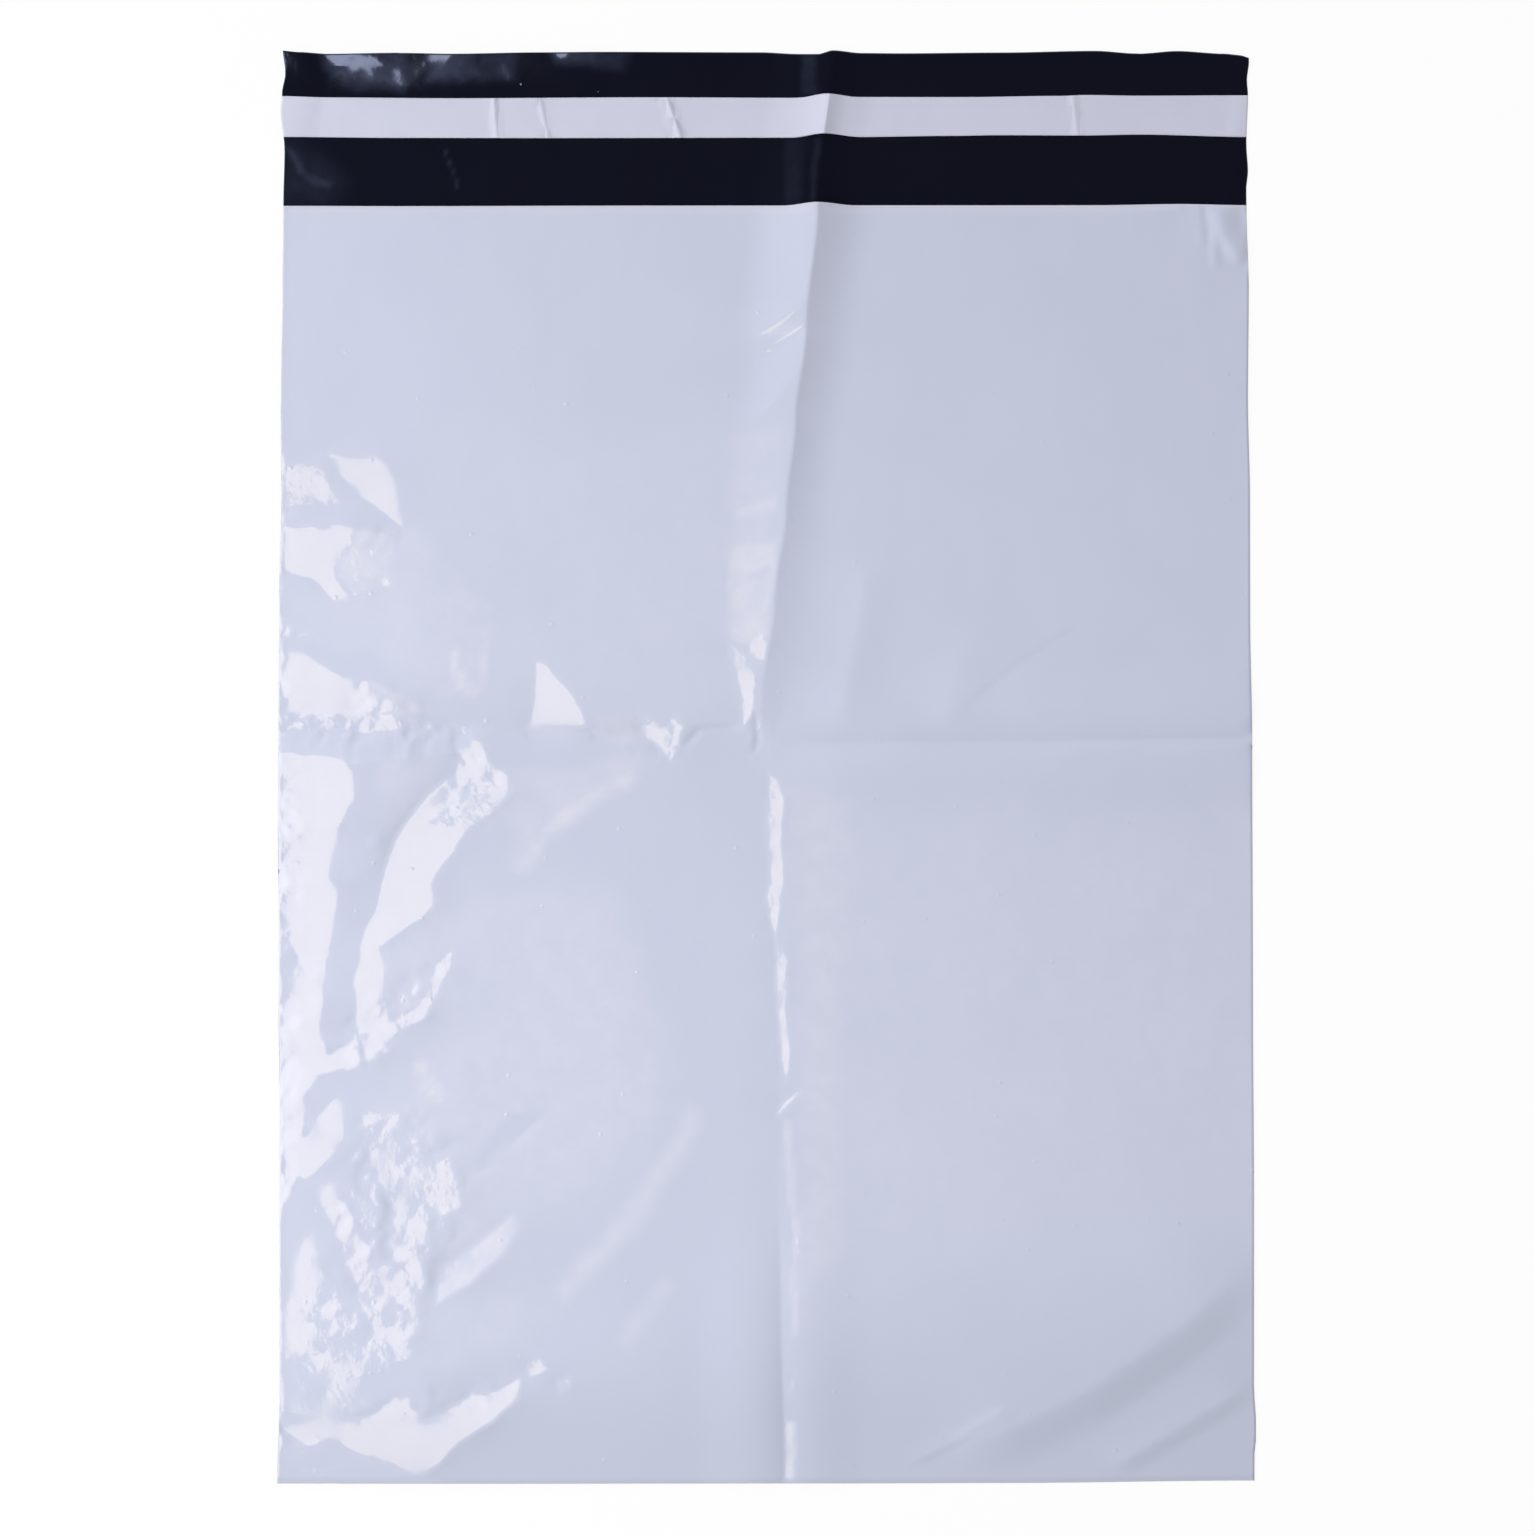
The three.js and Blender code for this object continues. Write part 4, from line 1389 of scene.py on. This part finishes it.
# pale is the colour of the painted sheen on the outside and of the painted gleams on the inside.
outside = film_finish(
    "film_outside",
    colour=(0.597, 0.627, 0.767, 1), darker=(0.582, 0.615, 0.755, 1),
    pale=(0.790, 0.786, 0.886, 1), gloss=0.058, mirror=1.5, warmth=(0.74, 0.59, 0.37, 1),
)
inside = film_finish(
    "film_inside",
    colour=(0.0038, 0.0043, 0.0114, 1), darker=(0.0034, 0.0039, 0.0104, 1),
    pale=(0.036, 0.042, 0.075, 1), gloss=0.10, mirror=1.65, warmth=(0.64, 0.72, 1, 1),
)

# %% [markdown]
# ## Rows and columns of film
# A sheet of film is drawn with rows that run between two lines across it, such as the bottom edge
# and the cross crease, and with columns that divide the way from the centre crease to the welds.
# So the creases lie on the mesh's own edges and stay sharp. Cells are small beside the crease and
# at the welds, where the film bends most, and wider in between.

# %% Rows and columns of film
left_half, right_half = 162.0, 160.5


def film_columns(y_rows, left_shares, right_shares):
    """Places across the film for each row: the middle column runs along the centre crease."""
    left, right = side_edges(y_rows)
    crease = centre_crease(y_rows)
    on_left = crease[:, None] + (crease - left)[:, None] * left_shares[None, :]
    on_right = crease[:, None] + (right - crease)[:, None] * right_shares[None, 1:]
    return np.concatenate([on_left, on_right], axis=1)


def film_grid(lines, shares, step_at):
    """Places on the film: rows run between lines across it, columns between its sides."""
    left_shares = split_evenly(march(-left_half, 0.0, step_at)) / left_half
    right_shares = split_evenly(march(0.0, right_half, step_at)) / right_half
    xs, ys = [], []
    for low_line, high_line, share in zip(lines, lines[1:], shares):
        share = split_evenly(share)[(1 if xs else 0):]
        guess = low_line(0.0) + (high_line(0.0) - low_line(0.0)) * share
        x = film_columns(guess, left_shares, right_shares)
        xs.append(x)
        ys.append(low_line(x) + (high_line(x) - low_line(x)) * share[:, None])
    return np.concatenate(xs), np.concatenate(ys)


print("mesh of each half in mm:", left_half, "and", right_half)

# %% [markdown]
# ## The weld
# At the sides a hot knife cut the two panels and melted them together. So the front panel comes
# down to the back one there, and the melt leaves a low bead along the edge.

# %% Height of the front panel with its welds
weld_reach = 1.4
weld_bead, bead_middle, bead_width = 0.03, 0.5, 0.35


def front_height(x, y):
    left, right = side_edges(y)
    inwards = np.minimum(x - left, right - x)
    closed = 1 - smooth_step(inwards, 0, weld_reach)
    free = look_up(height, x, y, bottom_y)
    welded = back_height(x, y) + floor_of_front
    bead = weld_bead * np.exp(-((inwards - bead_middle) / bead_width) ** 2)
    return free + (welded - free) * closed + bead


print("front panel at the left weld in mm:", round(float(front_height(side_edges(0.0)[0], 0.0)), 2))

# %% [markdown]
# ## The front panel
# This is the panel that the light plays on, so its mesh is dense on the left, where the crumpled
# film is, and along the creases. Its underside keeps to the wide points and lies just under the
# lowest film around each of them, so that it never shows.

# %% Rows, columns and heights of the front panel
narrow_step, step_growth = 1.0, 0.14
widest_left, widest_right = 2.4, 5.0
edge_step, edge_growth = 0.4, 0.6
row_step, row_growth = 0.8, 40
widest_row, row_extra, extra_from, extra_to = 2.4, 2, 0.5, 0.7
# Lengths of the pouch below and above the cross crease, in mm.
below_length, above_length = 247, 179
front_split_share = 0.17
bend_along_share = 0.6


def column_step(x):
    """A step across the film, small at the crease and at the weld."""
    widest = widest_left if x < 0 else widest_right
    to_weld = left_half + x if x < 0 else max(right_half - x, 0)
    return min(widest, narrow_step + step_growth * abs(x), edge_step + edge_growth * to_weld)


def below_step(share):
    return min(widest_row, row_step + row_growth * (1 - share)) / below_length


def above_step(share):
    widest = widest_row + row_extra * smooth_step(share, extra_from, extra_to)
    return min(widest, row_step + row_growth * share) / above_length


below_rows, above_rows = march(0.0, 1.0, below_step), march(0.0, 1.0, above_step)
x, y = film_grid((bottom_edge, cross_line, mouth_edge), (below_rows, above_rows), column_step)
z = front_height(x, y)
top = np.stack([x, y, z], axis=2)
low_z = lowest_around(lowest_around(z, parts, 0), parts, 1)[::parts, ::parts]
under = np.stack([x[::parts, ::parts], y[::parts, ::parts], low_z - film_thickness], axis=2)

slope_y, slope_x = np.gradient(height, grid_step)
slope_changes = np.gradient(slope_x) + np.gradient(slope_y * bend_along_share)
bend_grid = sum(np.abs(change) for change in slope_changes)
split = most_bent(look_up(bend_grid, x, y, bottom_y), front_split_share)
print("wide cells of the front panel:", split.size, "and split:", int(split.sum()))

# %% [markdown]
# ## The bottom fold
# At the bottom the web turns round and goes on as the back panel. The front panel's mesh takes the
# film round half a circle and ends under the bag, so the fold is a real rounded edge.

# %% Bottom fold and front panel
back_at_fold = back_height(x[0], y[0])
fold_radius = (z[0] - back_at_fold) / 2
fold_middle = (z[0] + back_at_fold) / 2
fold_turns = np.linspace(math.pi, 0, 2 * parts + 1)[:-1, None]


def fold_rows(radius, pace):
    """The film's way round the bottom fold."""
    radius, middle = radius[::pace], fold_middle[::pace]
    turns = fold_turns[::pace]
    fold_x = np.broadcast_to(x[0, ::pace], (len(turns), len(radius)))
    return np.stack([
        fold_x, y[0, ::pace] - radius * np.sin(turns), middle + radius * np.cos(turns)
    ], axis=2)


top = np.concatenate([fold_rows(fold_radius, 1), top])
under = np.concatenate([fold_rows(fold_radius - film_thickness, parts), under])
split = np.concatenate([np.zeros((2, split.shape[1]), bool), split])
# The haze mark carries the painted sheen.
marks = {
    "creased": look_up(creased, top[..., 0], top[..., 1], bottom_y),
    "painted_sheen": look_up(painted_sheen, top[..., 0], top[..., 1], bottom_y),
}
front_panel = closed_sheet("front_panel", top, under, split, [outside, inside], marks)
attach(front_panel, "root")
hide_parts("film_bag")

# %% [markdown]
# ## The back panel and the lip
# The back panel lies on the table under the front one, and goes on past the mouth as the lip. Only
# its lip shows from above, so its rows stand close there and far apart below. The lip's haze, its
# painted gleams, and its fine creases are marks on this mesh, and the black finish reads them as the
# pale one does.

# %% Back panel
back_widest, back_narrow, back_growth, back_edge_growth = 5.0, 1.6, 0.14, 0.5
# Rows as shares of the pouch, of the stretch up to the liner's top edge and of the free end.
pouch_row, bare_row, free_row = 4.5 / 425, 3.0 / 36, 2.2 / 15
fold_overlap = 0.02
lip_starts = mouth_y - 2
lip_crease, lip_crease_from, lip_crease_full = 0.2, 60, 130


def back_column_step(x):
    to_weld = max(left_half - abs(x), 0)
    beside_weld = back_narrow + back_edge_growth * to_weld
    return min(back_widest, back_narrow + back_growth * abs(x), beside_weld)


rows = [march(0.0, 1.0, lambda share: row) for row in (pouch_row, bare_row, free_row)]
back_lines = (lambda x: bottom_edge(x) + fold_overlap, mouth_edge, liner_top, lip_edge)
x, y = film_grid(back_lines, rows, back_column_step)
z = back_height(x, y)
top = np.stack([x, y, z + film_thickness], axis=2)
under_z = lowest_around(lowest_around(z, parts, 0), parts, 1)
under = np.stack([x, y, under_z], axis=2)[::parts, ::parts]
split = y[:-1:parts, :-1:parts] > lip_starts
on_lip = y > lip_starts
# The haze mark carries the lip's painted gleams.
marks = {
    "creased": lip_crease * smooth_step(-x, lip_crease_from, lip_crease_full) * on_lip,
    "painted_sheen": look_up(lip_painted_sheen, x, y, lip_low_y) * on_lip,
}
back_panel = closed_sheet("back_panel", top, under, split, [inside, outside], marks)
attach(back_panel, "root")
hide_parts("film_bag")

# %% [markdown]
# ## Satin finish of the liner and the adhesive
# The liner is a strip of siliconised film, satin where the bag is glossy, so it shows no lamp.
# It takes a high roughness with soft clouds in it, and a fine grain as its bump. The adhesive is
# a clear, yellowish glue with the same grain, so one function makes both.

# %% Liner finish and adhesive finish
satin_cloud_size = 18.0
satin_grain_size, satin_grain_height = 0.7, 0.006
satin_roughness, satin_roughness_change = 0.45, 0.1
satin_mirror = 1.4


def satin(name, colour, darker):
    strip = Finish(bpy.data.materials.new(name))
    place = strip.place_in_mm()
    clouds = strip.noise(place, satin_cloud_size)
    grain = strip.noise(place, satin_grain_size)
    values = {
        "Base Color": strip.blend(strip.ramp(clouds, tint_low, tint_high), colour, darker),
        "Roughness": satin_roughness + satin_roughness_change * clouds,
        "Normal": strip.bump(grain * satin_grain_height),
        "IOR": satin_mirror,
    }
    return strip.done(strip.node("ShaderNodeBsdfPrincipled", None, values))


liner_finish = satin(
    "liner_satin", colour=(0.612, 0.628, 0.756, 1), darker=(0.597, 0.613, 0.741, 1)
)
glue_finish = satin(
    "adhesive_clear", colour=(0.69, 0.66, 0.51, 1), darker=(0.66, 0.63, 0.48, 1)
)

# %% [markdown]
# ## The liner and the adhesive
# The liner lies on the adhesive and follows the fold of the lip. It has a few narrow pleats where
# it didn't stretch with the film, and one wide pleat where the hill lifts it. The adhesive under
# it is narrower, so that a thumb can get under the liner's edge. Each is a closed sheet of its own.

# %% Pleats
pleats = [
    (495, 498, 0.8, 3.5, 0.8), (540, 549, 0.6, 2.0, 1.0), (668, 682, 1.0, 4.5, 1.0),
    (830, 824, 1.5, 12.0, 6.0), (1073, 1078, 0.5, 3.0, 3.0),
]


def pleat_height(x, y):
    """Narrow pleats: a long rise from the left and a steep drop on the right."""
    total = np.zeros(x.shape)
    share = (liner_top(x) - y) / (liner_top(x) - liner_low(x))
    for top_pixel, low_pixel, rise, reach_left, reach_right in pleats:
        line = across(top_pixel) + (across(low_pixel) - across(top_pixel)) * share
        reach = np.where(x < line, reach_left, reach_right)
        total += rise * np.clip(1 - np.abs(x - line) / reach, 0, 1) ** 2
    return total


print(len(pleats), "pleats in the liner")

# %% Liner and adhesive
glue_thickness, liner_thickness = 0.05, 0.05
glue_inset = 2.3
glue_gap, liner_gap = 0.005, 0.01
strip_rows = 4
strip_widest, strip_narrow, strip_growth = 2.4, 1.2, 0.2


def strip_column_step(x):
    return min(strip_widest, strip_narrow + strip_growth * abs(x))


def strip_piece(name, low_line, high_line, lift, thickness, finish, pleated):
    """A closed strip on the lip between two lines across it."""
    rows = march(0.0, 1.0, lambda share: 1 / strip_rows)
    x, y = film_grid((low_line, high_line), (rows,), strip_column_step)
    z = back_height(x, y) + film_thickness + lift + pleated * pleat_height(x, y)
    top = np.stack([x, y, z + thickness], axis=2)
    under = np.stack([x, y, z], axis=2)[::parts, ::parts]
    split = np.ones((under.shape[0] - 1, under.shape[1] - 1), bool)
    return closed_sheet(name, top, under, split, [finish])


adhesive = strip_piece(
    "adhesive_band",
    lambda x: liner_low(x) + glue_inset,
    lambda x: liner_top(x) - glue_inset,
    glue_gap, glue_thickness, glue_finish, pleated=0.0,
)
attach(adhesive, "root")
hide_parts("adhesive_strip")

liner = strip_piece(
    "liner_strip", liner_low, liner_top, glue_thickness + liner_gap, liner_thickness, liner_finish,
    pleated=1.0,
)
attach(liner, "root")
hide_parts("release_liner")

# %% [markdown]
# ## The table
# The table is pale and plain. Its own white takes the shadow of the bag. What the camera and any
# glossy surface see of it is mostly a flat white, as behind an object in a catalogue.

# %% Table
table_half = 4.0
table_drop = 0.2
flat_white_share = 0.9
table_colour = (0.9, 0.9, 0.9, 1)

table_mesh = bpy.data.meshes.new("table")
corners = [(-1, -1), (1, -1), (1, 1), (-1, 1)]
table_mesh.from_pydata(
    [(table_half * right, table_half * far, 0) for right, far in corners], [], [(0, 1, 2, 3)]
)
table = bpy.data.objects.new("table", table_mesh)
bpy.context.scene.collection.objects.link(table)
table.location.z = -table_drop * MM

cloth = Finish(bpy.data.materials.new("table_white"))
paths = [
    cloth.node("ShaderNodeLightPath", output=name)
    for name in ("Is Camera Ray", "Is Glossy Ray", "Is Transmission Ray")
]
seen = cloth.node(
    "ShaderNodeMath", {"operation": "ADD", "use_clamp": True}, {0: paths[0] + paths[1], 1: paths[2]}
)
diffuse = cloth.node("ShaderNodeBsdfDiffuse", None, {"Color": table_colour})
white = cloth.node("ShaderNodeEmission", None, {"Color": (1, 1, 1, 1), "Strength": 1.0})
mixed = cloth.node(
    "ShaderNodeMixShader", None, {0: seen * flat_white_share, 1: diffuse, 2: white}
)
table_mesh.materials.append(cloth.done(mixed))
